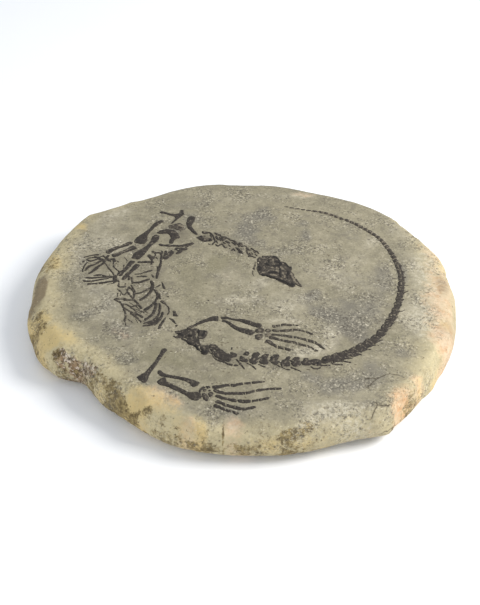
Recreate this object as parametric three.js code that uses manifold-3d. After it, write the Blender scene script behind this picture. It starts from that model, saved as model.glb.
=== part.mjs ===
// A fossil skeleton of a small long-tailed reptile in the face of a round stone slab.
// Millimetres, +Z up. The slab lies on its flat underside. The origin is on that plane,
// near the middle of the slab's outline. The bones are set in shallow pockets in the face.

import * as THREE from 'three';
import Module from 'manifold-3d';

const wasm = await Module();
wasm.setup();

// Slab: height of the face at its middle, and how far the face falls at the reference radius.
const FACE_HEIGHT = 34.2;
const FACE_FALL = 1.8;
const FACE_REFERENCE_RADIUS = 160;
const FACE_RING = 0.55;
const SHOULDER_STEPS = 4;
const UNDERSIDE_STEPS = 3;
// How full the rim is above and below its widest line: 2 is a quarter of an ellipse, more is
// nearer to a square corner.
const SHOULDER_FULLNESS = 2.4;
const UNDERSIDE_FULLNESS = 3;

// Bones: how deep they sit below the face, how far they stand above it, the room around
// and under each one, how far a cutter reaches up past the face, and how much narrower a
// bone is at its top than at its foot.
const BONE_DEPTH = 1.2;
const BONE_RISE = 0.8;
const POCKET_GAP = 0.35;
const CUTTER_RISE = 3;
const CROWN_INSET = 0.3;
const SHARPEST_MITER = 0.6;

// Slab outline, counter-clockwise from the right: x and y of the widest line, width of the
// rounded shoulder inside it, height of the widest line, and how far the underside runs
// back in under it.
const SLAB_OUTLINE = [
  [163, 18, 15, 17, 38],
  [158.5, 45.5, 14, 17, 38],
  [152, 60, 13, 18, 38],
  [139, 86.5, 12, 18, 38],
  [128.5, 100, 12, 18, 38],
  [117.5, 114, 12, 18, 38],
  [104.5, 124, 12, 18, 38],
  [80, 136.5, 12, 18, 38],
  [60.5, 143, 12, 18, 38],
  [38, 151.5, 12, 18, 38],
  [15, 155, 12, 18, 38],
  [-8, 156.5, 12, 18, 38],
  [-32, 156, 12, 18, 38],
  [-63.5, 147, 13, 18, 38],
  [-84.5, 135.5, 14, 18, 38],
  [-109.5, 123.5, 15, 18, 38],
  [-131, 110.5, 16, 18, 36],
  [-143, 90.5, 17, 18, 36],
  [-154.5, 63.5, 18, 17, 36],
  [-160.5, 45, 18, 16, 36],
  [-164.5, 22, 19, 16, 36],
  [-163.5, -5, 21, 16, 36],
  [-164, -23, 23, 15, 36],
  [-158, -44, 25, 14, 34],
  [-151, -58.5, 25, 14, 34],
  [-135.5, -74.5, 22, 14, 32],
  [-120, -80.5, 18, 15, 32],
  [-112.5, -87.5, 17, 15, 32],
  [-103, -101, 19, 14, 34],
  [-81, -122, 22, 14, 34],
  [-63.5, -136, 24, 14, 34],
  [-45.5, -145.5, 25, 14, 34],
  [-22, -151.5, 26, 14.5, 34],
  [-2, -153.5, 26, 14.5, 34],
  [14, -154, 25, 15, 34],
  [33.5, -152.5, 23, 15, 36],
  [58, -146.5, 20, 17, 40],
  [76, -141, 17, 18, 44],
  [100, -135.5, 12, 19, 40],
  [104, -129, 10, 17, 34],
  [125.5, -101, 10, 16, 32],
  [131, -95, 12, 15, 33],
  [143, -77, 14, 16, 34],
  [154.5, -49, 15, 16, 36],
  [160.5, -23, 15, 17, 38],
  [163, -3, 15, 17, 38],
];

// Flat bones, as outlines of x, y on the face.
const SKULL = [
  [14.5, 39.8], [12, 37.3], [10.7, 35.5], [10.5, 31], [11, 27], [10, 23], [10.8, 19.5], [12.2, 15.3],
  [14.5, 13], [17, 13.2], [21, 10], [24, 9.3], [27, 6.3], [30, 4.3], [33, 1.8], [36, -1.2],
  [38.5, -0.5], [39.3, 1.5], [38.4, 5], [36.6, 9], [35, 12], [36, 15.5], [36.9, 20], [37.2, 25],
  [35.5, 25.3], [34.5, 27.5], [32, 31.3], [29, 32], [28, 34.5], [25, 39.5],
];
const INTERCLAVICLE = [
  [-70, 104.5], [-67.5, 105], [-62, 102], [-57, 101], [-54, 102.5], [-53.3, 106.5], [-51, 107],
  [-50.7, 104], [-49.9, 101], [-51.5, 98], [-54, 94.5], [-58.5, 87.2], [-60, 87.7], [-56.7, 93.5],
  [-57.2, 96.5], [-60, 98.5], [-66, 101.6], [-69.8, 102.6],
];
const SCAPULA = [
  [-70.5, 74], [-66, 77.8], [-60, 78], [-55.5, 74.5], [-52, 66.5], [-54.5, 64], [-56.2, 62],
  [-57.5, 57.3], [-59.5, 57.7], [-59.8, 62], [-59, 65], [-60.5, 70], [-63, 72], [-66, 71.3], [-70, 72.3],
];
const CORACOID = [
  [-61.5, 83.5], [-58, 85.3], [-53, 87], [-50.2, 84], [-50.3, 78.5], [-53.3, 76.7], [-57, 79.4],
  [-60.8, 80],
];
const NECK_BASE = [
  [-34, 75.3], [-29, 74.3], [-25.5, 71.5], [-23, 71.8], [-21, 70.5], [-18.5, 67.5], [-19.5, 63],
  [-18, 59], [-17, 56.5], [-20, 53.5], [-23, 54], [-28.5, 55.5], [-30, 59], [-34, 60.5], [-35.5, 64],
  [-38.5, 65.8], [-34.5, 68.3], [-31.5, 69.5], [-34, 71],
];
const NECK_MIDDLE = [
  [-17, 67.5], [-12.5, 65], [-8, 62], [-5.5, 60], [-5, 56], [-3, 53], [-4.5, 50.5], [-7, 46.8],
  [-10, 47.3], [-12, 50.3], [-14.2, 51.4], [-15.8, 55], [-15.3, 58.5], [-16.8, 62],
];
const NECK_HEAD_END = [
  [-4, 59], [0, 54.8], [3.8, 51.5], [6.3, 50.7], [10, 48], [12.3, 44.5], [11.8, 42], [10, 39.8],
  [6.5, 38.7], [3.3, 38.8], [2.3, 42], [-0.8, 43], [-3.3, 46], [-5.4, 48.5], [-3.3, 50.5],
  [-1.8, 53], [-3.8, 56],
];
const BACK_VERTEBRA_FRONT = [
  [-54.5, 51.6], [-49.5, 51.2], [-45.5, 50.5], [-45.2, 48.3], [-48.5, 47.3], [-50, 44.5], [-53, 42.5],
  [-53.9, 44], [-52.4, 46.5], [-55, 49],
];
const BACK_VERTEBRA_SECOND = [
  [-62.7, 47.3], [-60, 45.2], [-57.8, 48.5], [-57, 47], [-55.8, 44], [-57, 41.5], [-58.7, 38.8],
  [-60.3, 36], [-62.3, 35], [-63.8, 36.8], [-63.3, 41.5],
];
const ILIUM = [
  [-49.5, -55], [-46.5, -53.7], [-43.5, -51.9], [-38.5, -51.4], [-34.6, -51.3], [-35, -56], [-36.5, -59.2],
  [-40, -59.4], [-43.5, -59], [-46, -60.7], [-49, -60.3], [-46.8, -57.5],
];
const PUBIS = [
  [-33.5, -53], [-27.5, -53.8], [-27, -56], [-29.3, -61.5], [-33.2, -61.3], [-33, -57],
];
const SACRUM = [
  [-43.5, -60.3], [-36.5, -60.4], [-34, -62.5], [-32.7, -65.5], [-31, -69], [-28, -70], [-25.8, -70.2],
  [-25.5, -75.5], [-27, -79], [-29.5, -78.3], [-31.2, -75], [-33.5, -73.5], [-35.5, -69.5], [-39.5, -68],
  [-41, -65], [-44.8, -62.2],
];
const TAIL_ROOT = [
  [-24.3, -69], [-21, -69], [-18.5, -72.5], [-15.5, -75.5], [-12, -79], [-9.5, -77.8], [-6, -79],
  [-6, -81.5], [-9.5, -83], [-10, -86.2], [-14, -86.3], [-18, -85], [-21, -82.5], [-22.5, -79], [-24.5, -76],
];
const FEMUR_LOWER = [
  [-58, -73.3], [-55, -74], [-57.5, -79], [-61, -88], [-64, -95], [-66.2, -100], [-67, -105],
  [-69.3, -107.8], [-73.8, -103], [-72.5, -101], [-68.5, -97.5], [-65, -91.5], [-61.8, -84.5],
  [-59.3, -77.5],
];
const TIBIA_LOWER = [
  [-59.7, -107], [-56, -103.4], [-54.5, -105], [-53.5, -107.3], [-48, -111.5], [-41, -116], [-38, -118],
  [-31.9, -118], [-30, -120.5], [-30.4, -124], [-33, -125.8], [-37, -123.5], [-41, -119.7], [-48, -115],
  [-54, -111.5], [-58, -110],
];
const ANKLE_UPPER = [
  [8.7, -51.3], [13.5, -50.7], [14.7, -53.5], [13.3, -56.2], [13.5, -60], [11.8, -63.3], [9, -63.5],
  [7.8, -60.5], [8.6, -57.5], [8.2, -54],
];
const ANKLE_LOWER = [
  [-27, -112.3], [-23.3, -111.9], [-23, -114.2], [-21.8, -118], [-21.5, -121], [-23.6, -122.8],
  [-25, -126.8], [-28, -124.5], [-29.2, -119.5], [-30.6, -117], [-29.5, -114.5],
];

// Long bones, as stations of x, y and half width along the middle line.
const LOWER_JAW = [
  [37.4, 17.5, 0.5], [38.2, 14, 0.7], [38.1, 11.5, 0.7], [40, 8.4, 0.7], [41.3, 5, 0.8], [42.7, 2, 0.7],
  [43.8, -1, 0.5],
];
const CLAVICLE_RIGHT = [
  [-42.3, 96.8, 1.8], [-43.3, 94.5, 3], [-44, 90, 2.9], [-44.8, 86, 2.4], [-44.5, 82, 1.8],
  [-43, 78, 1.5], [-40.8, 74, 1.3], [-38.3, 70.7, 0.9],
];
const CLAVICLE_LEFT = [
  [-68, 56.5, 0.9], [-66, 55.2, 1.2], [-62, 54.5, 1.2], [-55, 54.2, 1.2], [-50, 53.9, 1.4],
  [-45, 55.5, 1.6], [-42, 57, 1.5], [-40.8, 58.2, 0.9],
];
const RIBS = [
  [[-73, 46.5, 0.9], [-70, 44.4, 0.9], [-67, 44.4, 0.8], [-65.4, 41, 0.7], [-65.4, 36, 0.7],
    [-65.3, 30, 0.8], [-66.3, 23, 1], [-67, 15, 0.9], [-67.3, 10.5, 0.6]],
  [[-83.2, 31.8, 0.9], [-80, 31.7, 0.9], [-77, 32, 1.2], [-73, 31.8, 1], [-71, 32, 0.8]],
  [[-84.5, 5.2, 0.7], [-80, 5.3, 1.1], [-77, 7.2, 1.1], [-72.8, 9.3, 0.7]],
  [[-71.3, 7, 0.7], [-70, 2.5, 1.1], [-70, -2, 1.3], [-71, -6, 1.1], [-72.5, -10, 1.1],
    [-75.5, -14, 1], [-78.3, -16.8, 0.7]],
  [[-68.4, -4.2, 0.6], [-65.9, -8.5, 0.9], [-65.2, -12, 0.8], [-65.8, -16, 0.8], [-67.3, -20, 0.9],
    [-69.5, -24, 1.1], [-73.3, -28.3, 1.3]],
  [[-65.7, -20.5, 0.5], [-65.9, -24, 1], [-66.5, -29, 1], [-68, -34, 0.9], [-70.5, -37.5, 0.9],
    [-73, -39.8, 0.8]],
  [[-63.5, -21, 0.5], [-62.8, -25, 0.8], [-62.6, -29, 0.8], [-63.3, -34, 0.7], [-65.3, -39, 0.9],
    [-68.5, -42.5, 1], [-73, -44.3, 0.7]],
  [[-60.5, -31.3, 0.5], [-60.6, -35, 0.8], [-62, -39.5, 1], [-64.5, -43.8, 0.9], [-68.5, -46.3, 0.7],
    [-73.5, -47.3, 0.6]],
];
const GASTRALIA = [
  [[-88.5, -6, 0.5], [-86, -11, 0.6], [-83, -15.5, 0.7], [-78, -24, 0.7],
    [-76.3, -27, 0.6]],
  [[-88, 0, 0.5], [-84.5, -5, 0.6], [-83, -9, 0.6], [-83.4, -15.2, 0.5]],
  [[-97.3, -15.6, 0.6], [-92, -15.3, 0.5], [-87.5, -16.7, 0.9], [-83, -16.3, 0.6]],
  [[-97.5, -15.6, 0.6], [-94, -18.7, 0.6], [-91.3, -22, 0.7], [-88.4, -31, 0.6],
    [-87.5, -36, 0.6], [-87.8, -41.5, 0.6]],
  [[-92.2, -20.9, 0.5], [-88, -22.2, 0.6], [-84, -24.5, 0.6], [-78.5, -22, 0.5]],
  [[-89.9, -25.5, 0.5], [-85, -30.3, 0.5], [-82, -34, 0.8], [-79, -38, 0.6], [-75.8, -42, 0.5]],
  [[-82.4, -33.4, 0.6], [-78, -34.3, 0.7], [-75, -37.3, 0.7]],
];
const HUMERUS_RIGHT = [
  [-67.3, 90.5, 1.4], [-70.5, 88.3, 2], [-73.3, 84.5, 1.9], [-75, 80.5, 1.6], [-77.8, 75.5, 1.7],
  [-80.3, 71, 2.3], [-82.3, 66.5, 4], [-83.3, 62, 4.9], [-84.5, 58.3, 3.4],
];
const RADIUS_RIGHT = [
  [-91, 59.3, 1], [-94, 56.7, 1.4], [-98, 54.2, 1], [-102, 52, 1.3], [-106, 48.7, 1.5], [-108.3, 45.5, 1.5],
];
const ULNA_RIGHT = [
  [-87.3, 53, 2.2], [-89.5, 51.3, 2.5], [-92.5, 48.8, 1.7], [-96.5, 45.7, 1.3], [-100, 43, 1.7],
  [-103.8, 41, 2],
];
const HAND_RIGHT = [
  [[-107.6, 41.5, 0.9], [-108.4, 38.5, 1.1], [-107, 35.5, 1.2], [-103, 36.5, 1.2], [-101.6, 33, 1.1]],
  [[-108, 36, 1], [-111.5, 34.5, 1], [-115, 37, 0.9], [-121, 34.3, 0.9], [-124, 37, 0.6]],
  [[-111, 36, 0.8], [-115.5, 38.3, 0.8], [-119, 39, 0.6], [-123.3, 38, 0.6]],
  [[-111.5, 34.5, 1], [-114, 33.3, 1.1], [-117, 29.5, 0.8], [-121.3, 27.5, 1.2], [-123.8, 22, 0.8]],
  [[-109.8, 35, 0.8], [-110.5, 31, 1], [-115.3, 25.3, 1], [-118.3, 19.8, 0.9],
    [-120.5, 17.9, 0.7]],
];
const HUMERUS_LEFT = [
  [-70.8, 69.3, 1.6], [-71.5, 66, 2.8], [-72.3, 62, 2.6], [-74.3, 58, 1.9], [-76.5, 54, 1.7],
  [-78.7, 50, 2.3], [-81.3, 46, 3.4], [-83.8, 42, 3.9], [-85.3, 38.5, 3.4], [-86, 36.6, 2.4],
];
const RADIUS_LEFT = [
  [-87.8, 33, 1.7], [-89.3, 29.5, 1.6], [-91, 25.5, 1.3], [-93, 21.5, 1.3], [-95.3, 18, 1.7],
  [-96.4, 14.5, 1.9],
];
const ULNA_LEFT = [
  [-83.3, 28.5, 1.7], [-84.8, 25.5, 1.9], [-86.5, 22, 1.4], [-88.3, 18.8, 1.2], [-90.5, 15.5, 1.4],
  [-92, 12, 1.4], [-93.2, 9.3, 0.9],
];
const HAND_LEFT = [
  [[-99, 14.5, 0.9], [-100.3, 11.5, 1.2], [-100.2, 8, 0.9], [-99.2, 5.5, 1]],
  [[-100, 12.5, 0.8], [-104, 12.5, 1.4], [-106.8, 13.5, 1], [-112, 15.5, 0.8],
    [-116, 14.8, 0.9]],
  [[-105.5, 12.5, 0.9], [-113, 12.2, 0.6], [-117, 11.9, 1], [-121.8, 12.2, 0.9]],
  [[-104.5, 11, 0.8], [-108, 10.2, 0.8], [-114.5, 8.3, 0.8], [-119, 7.4, 0.9],
    [-123.5, 8.3, 0.8]],
  [[-99.8, 8, 0.7], [-103, 6.6, 1], [-111, 4.8, 1.1], [-116, 4.2, 0.8],
    [-119.8, 4.1, 0.9]],
];
const FEMUR_UPPER = [
  [-40.8, -50.2, 0.9], [-36, -47, 1.1], [-32.5, -44.2, 1.3], [-28, -41.5, 1.6], [-24, -39.8, 2.3],
  [-21, -39.3, 2.8], [-19.2, -39.3, 2.5],
];
const TIBIA_UPPER = [
  [-16.3, -38.8, 1.2], [-13.5, -38.5, 1.3], [-10, -39.4, 0.9], [-6, -40.8, 0.9], [-2.5, -41.2, 1.6],
  [1, -42.9, 2], [6, -45.4, 2.2], [10, -47.2, 2.5], [12.5, -47.8, 1.9],
];
const FIBULA_UPPER = [
  [-15.6, -41.7, 1], [-12, -43.6, 1], [-9, -47, 1.3], [-6, -50, 1.6], [-2, -52.2, 2.2], [2, -54, 2.6],
  [5.2, -55.5, 2.6], [6.4, -56.5, 1.8],
];
const FIBULA_LOWER = [
  [-59.2, -97, 0.9], [-57, -99.8, 1.3], [-52, -101.8, 1], [-46, -103.5, 0.9], [-40, -105.5, 1.1],
  [-36, -108, 1.7], [-33, -110.7, 2.4],
];
const TOES_UPPER = [
  [[21, -48.5, 1.5], [25, -47.5, 1.2], [29, -46.4, 1.3], [33, -46.7, 1.1], [39, -47, 0.6]],
  [[20.8, -52.6, 1.2], [25, -53.5, 1], [31, -53, 1.4], [37, -52.1, 1.2], [41, -52.8, 0.8],
    [45.5, -54.6, 1], [49.3, -57, 0.6]],
  [[20.5, -57.6, 1], [25, -58.3, 0.8], [31, -59.2, 1.2], [36, -60.6, 1.2], [40, -61.5, 0.9],
    [47.5, -64.7, 1.5], [52, -67.5, 1], [56.8, -73, 0.6]],
  [[18.3, -60.6, 1.4], [22, -61.7, 1.1], [27, -64, 1], [36, -66.4, 1.3],
    [40, -68, 0.9], [46, -70.9, 1.1], [51.5, -75, 0.6]],
  [[15.5, -65, 1.7], [18, -66, 1.5], [20, -68.3, 1.2], [24, -71.2, 1.3], [29, -73, 1.1], [32.6, -74.6, 0.9]],
];
const TOES_LOWER = [
  [[-21, -113.4, 1.4], [-16, -112.5, 1.2], [-11, -110.9, 1], [-7.5, -111.2, 1.3], [-2, -109.9, 0.9],
    [12, -107.8, 0.6]],
  [[-20.3, -117, 1], [-17, -118.7, 1.2], [-12, -120, 0.9], [-6, -120, 1], [-1, -120.2, 1.2],
    [4, -118.8, 1], [13, -116, 0.9], [24, -115.1, 0.6]],
  [[-19, -122, 1.1], [-15, -124, 1], [-9, -126, 1], [-4, -127.2, 1.3], [1, -127.5, 1.4], [7, -126.9, 0.9],
    [15.5, -124.5, 0.6]],
  [[-18.7, -127.8, 1.3], [-15, -129.8, 1.3], [-10, -132.3, 1.3], [-4, -134.4, 1.3], [0, -135, 1.2],
    [7, -133.3, 0.9]],
  [[-20.3, -132, 1.4], [-16, -134, 1.1], [-12, -136, 0.9], [-8, -137.3, 0.9], [-4.5, -139.3, 1]],
];

// Tail: the middle line from behind the root to the tip, with the half width of the row.
const TAIL_LINE = [
  [-3, -85, 4.2], [6, -86, 4.2], [20, -86.8, 4.2], [36, -88, 4.1], [50, -87.4, 3.8], [60.5, -84, 3.9],
  [70, -80, 3.8], [82, -72.5, 3.8], [94, -62, 3.3], [101.5, -51.5, 3], [108.5, -39, 2.9],
  [113.5, -26, 2.6], [117, -13.5, 2.5], [119.5, -3, 2.4], [121.5, 12, 2.2], [121, 27, 2.1],
  [118, 43.5, 1.8], [113.5, 57.5, 1.8], [106, 72, 1.7], [93.5, 85.5, 1.6], [81.5, 94, 1.5],
  [69.5, 102.5, 1.4], [56.5, 106.5, 1.1], [47.5, 109, 0.8], [37.5, 112, 0.6], [32, 113, 0.4],
];
const TAIL_LINE_SAMPLES = 12;
const VERTEBRA_PITCH = 7.3;
const VERTEBRA_SPACE = 0.9;
const SINGLE_VERTEBRAE = 5;
const FIRST_VERTEBRA = 0.4;
// The joined rows that follow: where each one ends as a part of the whole length, and the
// distance between its knobs. The last one is so thin that only its ragged edge shows.
const TAIL_ROWS = [
  { end: 0.38, pitch: 7.2 },
  { end: 0.66, pitch: 6.8 },
  { end: 1, pitch: 11 },
];
const CHAIN_WAIST = 0.72;
const CHAIN_POCKET_STEP = 9;
// One large tail vertebra: along the tail in parts of the pitch, and across in half widths.
// The spine leans towards the tip on the inner side of the curl.
const VERTEBRA_OUTLINE = [
  [-0.45, 0.2], [-0.36, 1.05], [-0.1, 1.5], [0.36, 1.78], [0.5, 1.25], [0.33, 0.5], [0.42, -0.35],
  [0.26, -0.9], [-0.24, -0.75], [-0.42, -0.25],
];

// Materials
const stone = new THREE.MeshStandardMaterial({ color: 0xa9a28c, roughness: 0.92, metalness: 0 });
const bone = new THREE.MeshStandardMaterial({ color: 0x413b37, roughness: 0.7, metalness: 0 });

// Height of the slab's gently domed face
function faceHeight(x, y) {
  const reach = Math.hypot(x, y) / FACE_REFERENCE_RADIUS;
  return FACE_HEIGHT - FACE_FALL * reach * reach;
}

// Catmull-Rom value between b and c
function spline(a, b, c, d, t) {
  const linear = (c - a) / 2;
  const square = a - 2.5 * b + 2 * c - d / 2;
  const cube = (d - a) / 2 + 1.5 * (b - c);
  return b + t * (linear + t * (square + t * cube));
}

// Rows of numbers sampled along a spline through them
function splineRows(rows, samples) {
  const at = (i) => rows[Math.min(Math.max(i, 0), rows.length - 1)];
  const result = [];
  for (let i = 0; i < rows.length - 1; i += 1) {
    for (let k = 0; k < samples; k += 1) {
      const t = k / samples;
      result.push(rows[i].map((_, n) => spline(at(i - 1)[n], at(i)[n], at(i + 1)[n], at(i + 2)[n], t)));
    }
  }
  result.push([...rows[rows.length - 1]]);
  return result;
}

// Closed mesh geometry from points and triangles
function closedGeometry(points, triangles) {
  const geometry = new THREE.BufferGeometry();
  geometry.setAttribute('position', new THREE.Float32BufferAttribute(points.flat(), 3));
  geometry.setIndex(triangles.flat());
  return geometry;
}

// Point on the rounded rim, from 0 at its inner end to 1 at the widest line: how far out it
// is and how far up or down from that line, as parts of the whole
function rimStep(part, fullness) {
  const angle = (part * Math.PI) / 2;
  const power = 2 / fullness;
  return { out: Math.sin(angle) ** power, up: Math.sin(Math.PI / 2 - angle) ** power };
}

// Slab: rings from the edge of the face over the shoulder and the rim to the flat underside.
// The face has one more ring inside, with half as many points, around its middle.
function slabGeometry() {
  const rim = SLAB_OUTLINE;
  const count = rim.length;
  const rings = [];
  const faceRing = (part) => rim.map(([x, y, shoulder]) => {
    const radius = Math.hypot(x, y);
    const k = (part * (radius - shoulder)) / radius;
    return [x * k, y * k, faceHeight(x * k, y * k)];
  });
  const inner = faceRing(FACE_RING).filter((_, i) => i % 2 === 0);
  rings.push(faceRing(1));
  for (let i = 1; i <= SHOULDER_STEPS; i += 1) {
    const { out, up } = rimStep(i / SHOULDER_STEPS, SHOULDER_FULLNESS);
    rings.push(rim.map(([x, y, shoulder, waist]) => {
      const radius = Math.hypot(x, y);
      const k = (radius - shoulder * (1 - out)) / radius;
      const edge = faceHeight(x * (1 - shoulder / radius), y * (1 - shoulder / radius));
      return [x * k, y * k, waist + (edge - waist) * up];
    }));
  }
  for (let i = 1; i <= UNDERSIDE_STEPS; i += 1) {
    const { out, up } = rimStep(1 - i / UNDERSIDE_STEPS, UNDERSIDE_FULLNESS);
    rings.push(rim.map(([x, y, , waist, undercut]) => {
      const radius = Math.hypot(x, y);
      const k = (radius - undercut * (1 - out)) / radius;
      return [x * k, y * k, waist * (1 - up)];
    }));
  }
  const points = [...rings.flat(), ...inner, [0, 0, faceHeight(0, 0)], [0, 0, 0]];
  const bottom = points.length - 1;
  const top = bottom - 1;
  const at = (ring, i) => ring * count + (i % count);
  const innerAt = (i) => rings.length * count + (i % inner.length);
  const triangles = [];
  for (let i = 0; i < inner.length; i += 1) {
    triangles.push([top, innerAt(i), innerAt(i + 1)]);
    triangles.push([innerAt(i), at(0, 2 * i), at(0, 2 * i + 1)]);
    triangles.push([innerAt(i), at(0, 2 * i + 1), innerAt(i + 1)]);
    triangles.push([innerAt(i + 1), at(0, 2 * i + 1), at(0, 2 * i + 2)]);
  }
  for (let i = 0; i < count; i += 1) {
    for (let r = 0; r < rings.length - 1; r += 1) {
      triangles.push([at(r, i), at(r + 1, i), at(r + 1, i + 1)]);
      triangles.push([at(r, i), at(r + 1, i + 1), at(r, i + 1)]);
    }
    triangles.push([bottom, at(rings.length - 1, i + 1), at(rings.length - 1, i)]);
  }
  return closedGeometry(points, triangles);
}

// Outline of a long bone from its stations: down one side and back up the other
function shaftOutline(stations) {
  const left = [];
  const right = [];
  stations.forEach(([x, y, half], i) => {
    const before = stations[Math.max(i - 1, 0)];
    const after = stations[Math.min(i + 1, stations.length - 1)];
    const length = Math.hypot(after[0] - before[0], after[1] - before[1]);
    const nx = -(after[1] - before[1]) / length;
    const ny = (after[0] - before[0]) / length;
    left.push([x + nx * half, y + ny * half]);
    right.push([x - nx * half, y - ny * half]);
  });
  return [...right, ...left.reverse()];
}

// Outline turned counter-clockwise
function anticlockwise(outline) {
  const area = THREE.ShapeUtils.area(outline.map(([x, y]) => new THREE.Vector2(x, y)));
  return area < 0 ? [...outline].reverse() : outline;
}

// Outline moved outwards by a distance, or inwards if it is negative
function offsetOutline(outline, distance) {
  const count = outline.length;
  return outline.map(([x, y], i) => {
    const [ax, ay] = outline[(i + count - 1) % count];
    const [bx, by] = outline[(i + 1) % count];
    const before = new THREE.Vector2(y - ay, ax - x).normalize();
    const after = new THREE.Vector2(by - y, x - bx).normalize();
    const miter = before.add(after).normalize();
    const reach = distance / Math.max(miter.dot(after), SHARPEST_MITER);
    return [x + miter.x * reach, y + miter.y * reach];
  });
}

// Closed body standing on an outline, from below the face to above it, narrower at the top
function reliefGeometry(outline, depth, rise, inset) {
  const foot = anticlockwise(outline);
  const crown = offsetOutline(foot, -inset);
  const count = foot.length;
  const low = foot.map(([x, y]) => [x, y, faceHeight(x, y) - depth]);
  const high = crown.map(([x, y]) => [x, y, faceHeight(x, y) + rise]);
  const contour = foot.map(([x, y]) => new THREE.Vector2(x, y));
  const faces = THREE.ShapeUtils.triangulateShape(contour, []);
  const triangles = [];
  for (const [a, b, c] of faces) {
    triangles.push([a, c, b]);
    triangles.push([count + a, count + b, count + c]);
  }
  for (let i = 0; i < count; i += 1) {
    const next = (i + 1) % count;
    triangles.push([i, next, count + next]);
    triangles.push([i, count + next, count + i]);
  }
  return closedGeometry([...low, ...high], triangles);
}

// Solids for joining and cutting
function toSolid(geometry) {
  const vertProperties = new Float32Array(geometry.getAttribute('position').array);
  const triVerts = new Uint32Array(geometry.getIndex().array);
  return new wasm.Manifold(new wasm.Mesh({ numProp: 3, vertProperties, triVerts }));
}

function fromSolid(solid) {
  const mesh = solid.getMesh();
  const geometry = new THREE.BufferGeometry();
  geometry.setAttribute('position', new THREE.Float32BufferAttribute(mesh.vertProperties, 3));
  geometry.setIndex(new THREE.Uint32BufferAttribute(mesh.triVerts, 1));
  return geometry;
}

function joined(solids) {
  return solids.reduce((whole, piece) => whole.add(piece));
}

const group = new THREE.Group();
const pockets = [];

function addMesh(name, geometry, material) {
  const mesh = new THREE.Mesh(geometry, material);
  mesh.name = name;
  group.add(mesh);
}

function cutPocket(outline) {
  const wider = offsetOutline(anticlockwise(outline), POCKET_GAP);
  pockets.push(toSolid(reliefGeometry(wider, BONE_DEPTH + POCKET_GAP, CUTTER_RISE, 0)));
}

// One bone from an outline, with its pocket
function addBone(name, outline) {
  addMesh(name, reliefGeometry(outline, BONE_DEPTH, BONE_RISE, CROWN_INSET), bone);
  cutPocket(outline);
}

// Several long bones grown or pressed together, as one body
function addJoinedBones(name, strands) {
  const outlines = strands.map(shaftOutline);
  const solids = outlines.map((outline) => {
    const strand = reliefGeometry(outline, BONE_DEPTH, BONE_RISE, CROWN_INSET);
    return toSolid(strand);
  });
  addMesh(name, fromSolid(joined(solids)), bone);
  outlines.forEach(cutPocket);
}

// Skull, neck and trunk
function addHeadAndTrunk() {
  addBone('skull', SKULL);
  addBone('lower_jaw', shaftOutline(LOWER_JAW));
  addBone('neck_vertebrae_base', NECK_BASE);
  addBone('neck_vertebrae_middle', NECK_MIDDLE);
  addBone('neck_vertebrae_head_end', NECK_HEAD_END);
  addBone('interclavicle', INTERCLAVICLE);
  addBone('clavicle_right', shaftOutline(CLAVICLE_RIGHT));
  addBone('clavicle_left', shaftOutline(CLAVICLE_LEFT));
  addBone('scapula', SCAPULA);
  addBone('coracoid', CORACOID);
  addBone('back_vertebra_front', BACK_VERTEBRA_FRONT);
  addBone('back_vertebra_second', BACK_VERTEBRA_SECOND);
  RIBS.forEach((rib, i) => addBone(`rib_${i + 1}`, shaftOutline(rib)));
  addJoinedBones('belly_ribs', GASTRALIA);
  addBone('ilium', ILIUM);
  addBone('pubis', PUBIS);
  addBone('sacrum', SACRUM);
}

// Arms and legs
function addLimbs() {
  addBone('humerus_right', shaftOutline(HUMERUS_RIGHT));
  addBone('radius_right', shaftOutline(RADIUS_RIGHT));
  addBone('ulna_right', shaftOutline(ULNA_RIGHT));
  addJoinedBones('hand_right', HAND_RIGHT);
  addBone('humerus_left', shaftOutline(HUMERUS_LEFT));
  addBone('radius_left', shaftOutline(RADIUS_LEFT));
  addBone('ulna_left', shaftOutline(ULNA_LEFT));
  addJoinedBones('hand_left', HAND_LEFT);
  addBone('femur_upper', shaftOutline(FEMUR_UPPER));
  addBone('tibia_upper', shaftOutline(TIBIA_UPPER));
  addBone('fibula_upper', shaftOutline(FIBULA_UPPER));
  addBone('ankle_upper', ANKLE_UPPER);
  TOES_UPPER.forEach((toe, i) => addBone(`toe_upper_${i + 1}`, shaftOutline(toe)));
  addBone('femur_lower', FEMUR_LOWER);
  addBone('tibia_lower', TIBIA_LOWER);
  addBone('fibula_lower', shaftOutline(FIBULA_LOWER));
  addBone('ankle_lower', ANKLE_LOWER);
  TOES_LOWER.forEach((toe, i) => addBone(`toe_lower_${i + 1}`, shaftOutline(toe)));
}

// Stations along the tail at a distance from its root, with the direction there
function tailWalker() {
  const line = splineRows(TAIL_LINE, TAIL_LINE_SAMPLES);
  const distances = [0];
  for (let i = 1; i < line.length; i += 1) {
    distances.push(distances[i - 1] + Math.hypot(line[i][0] - line[i - 1][0], line[i][1] - line[i - 1][1]));
  }
  const length = distances[distances.length - 1];
  const at = (distance) => {
    const wanted = Math.min(Math.max(distance, 0), length);
    let i = 1;
    while (distances[i] < wanted) {
      i += 1;
    }
    const t = (wanted - distances[i - 1]) / (distances[i] - distances[i - 1]);
    const [x, y, half] = line[i].map((value, n) => line[i - 1][n] + t * (value - line[i - 1][n]));
    const heading = Math.atan2(line[i][1] - line[i - 1][1], line[i][0] - line[i - 1][0]);
    return { x, y, half, heading };
  };
  return { length, at };
}

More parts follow.
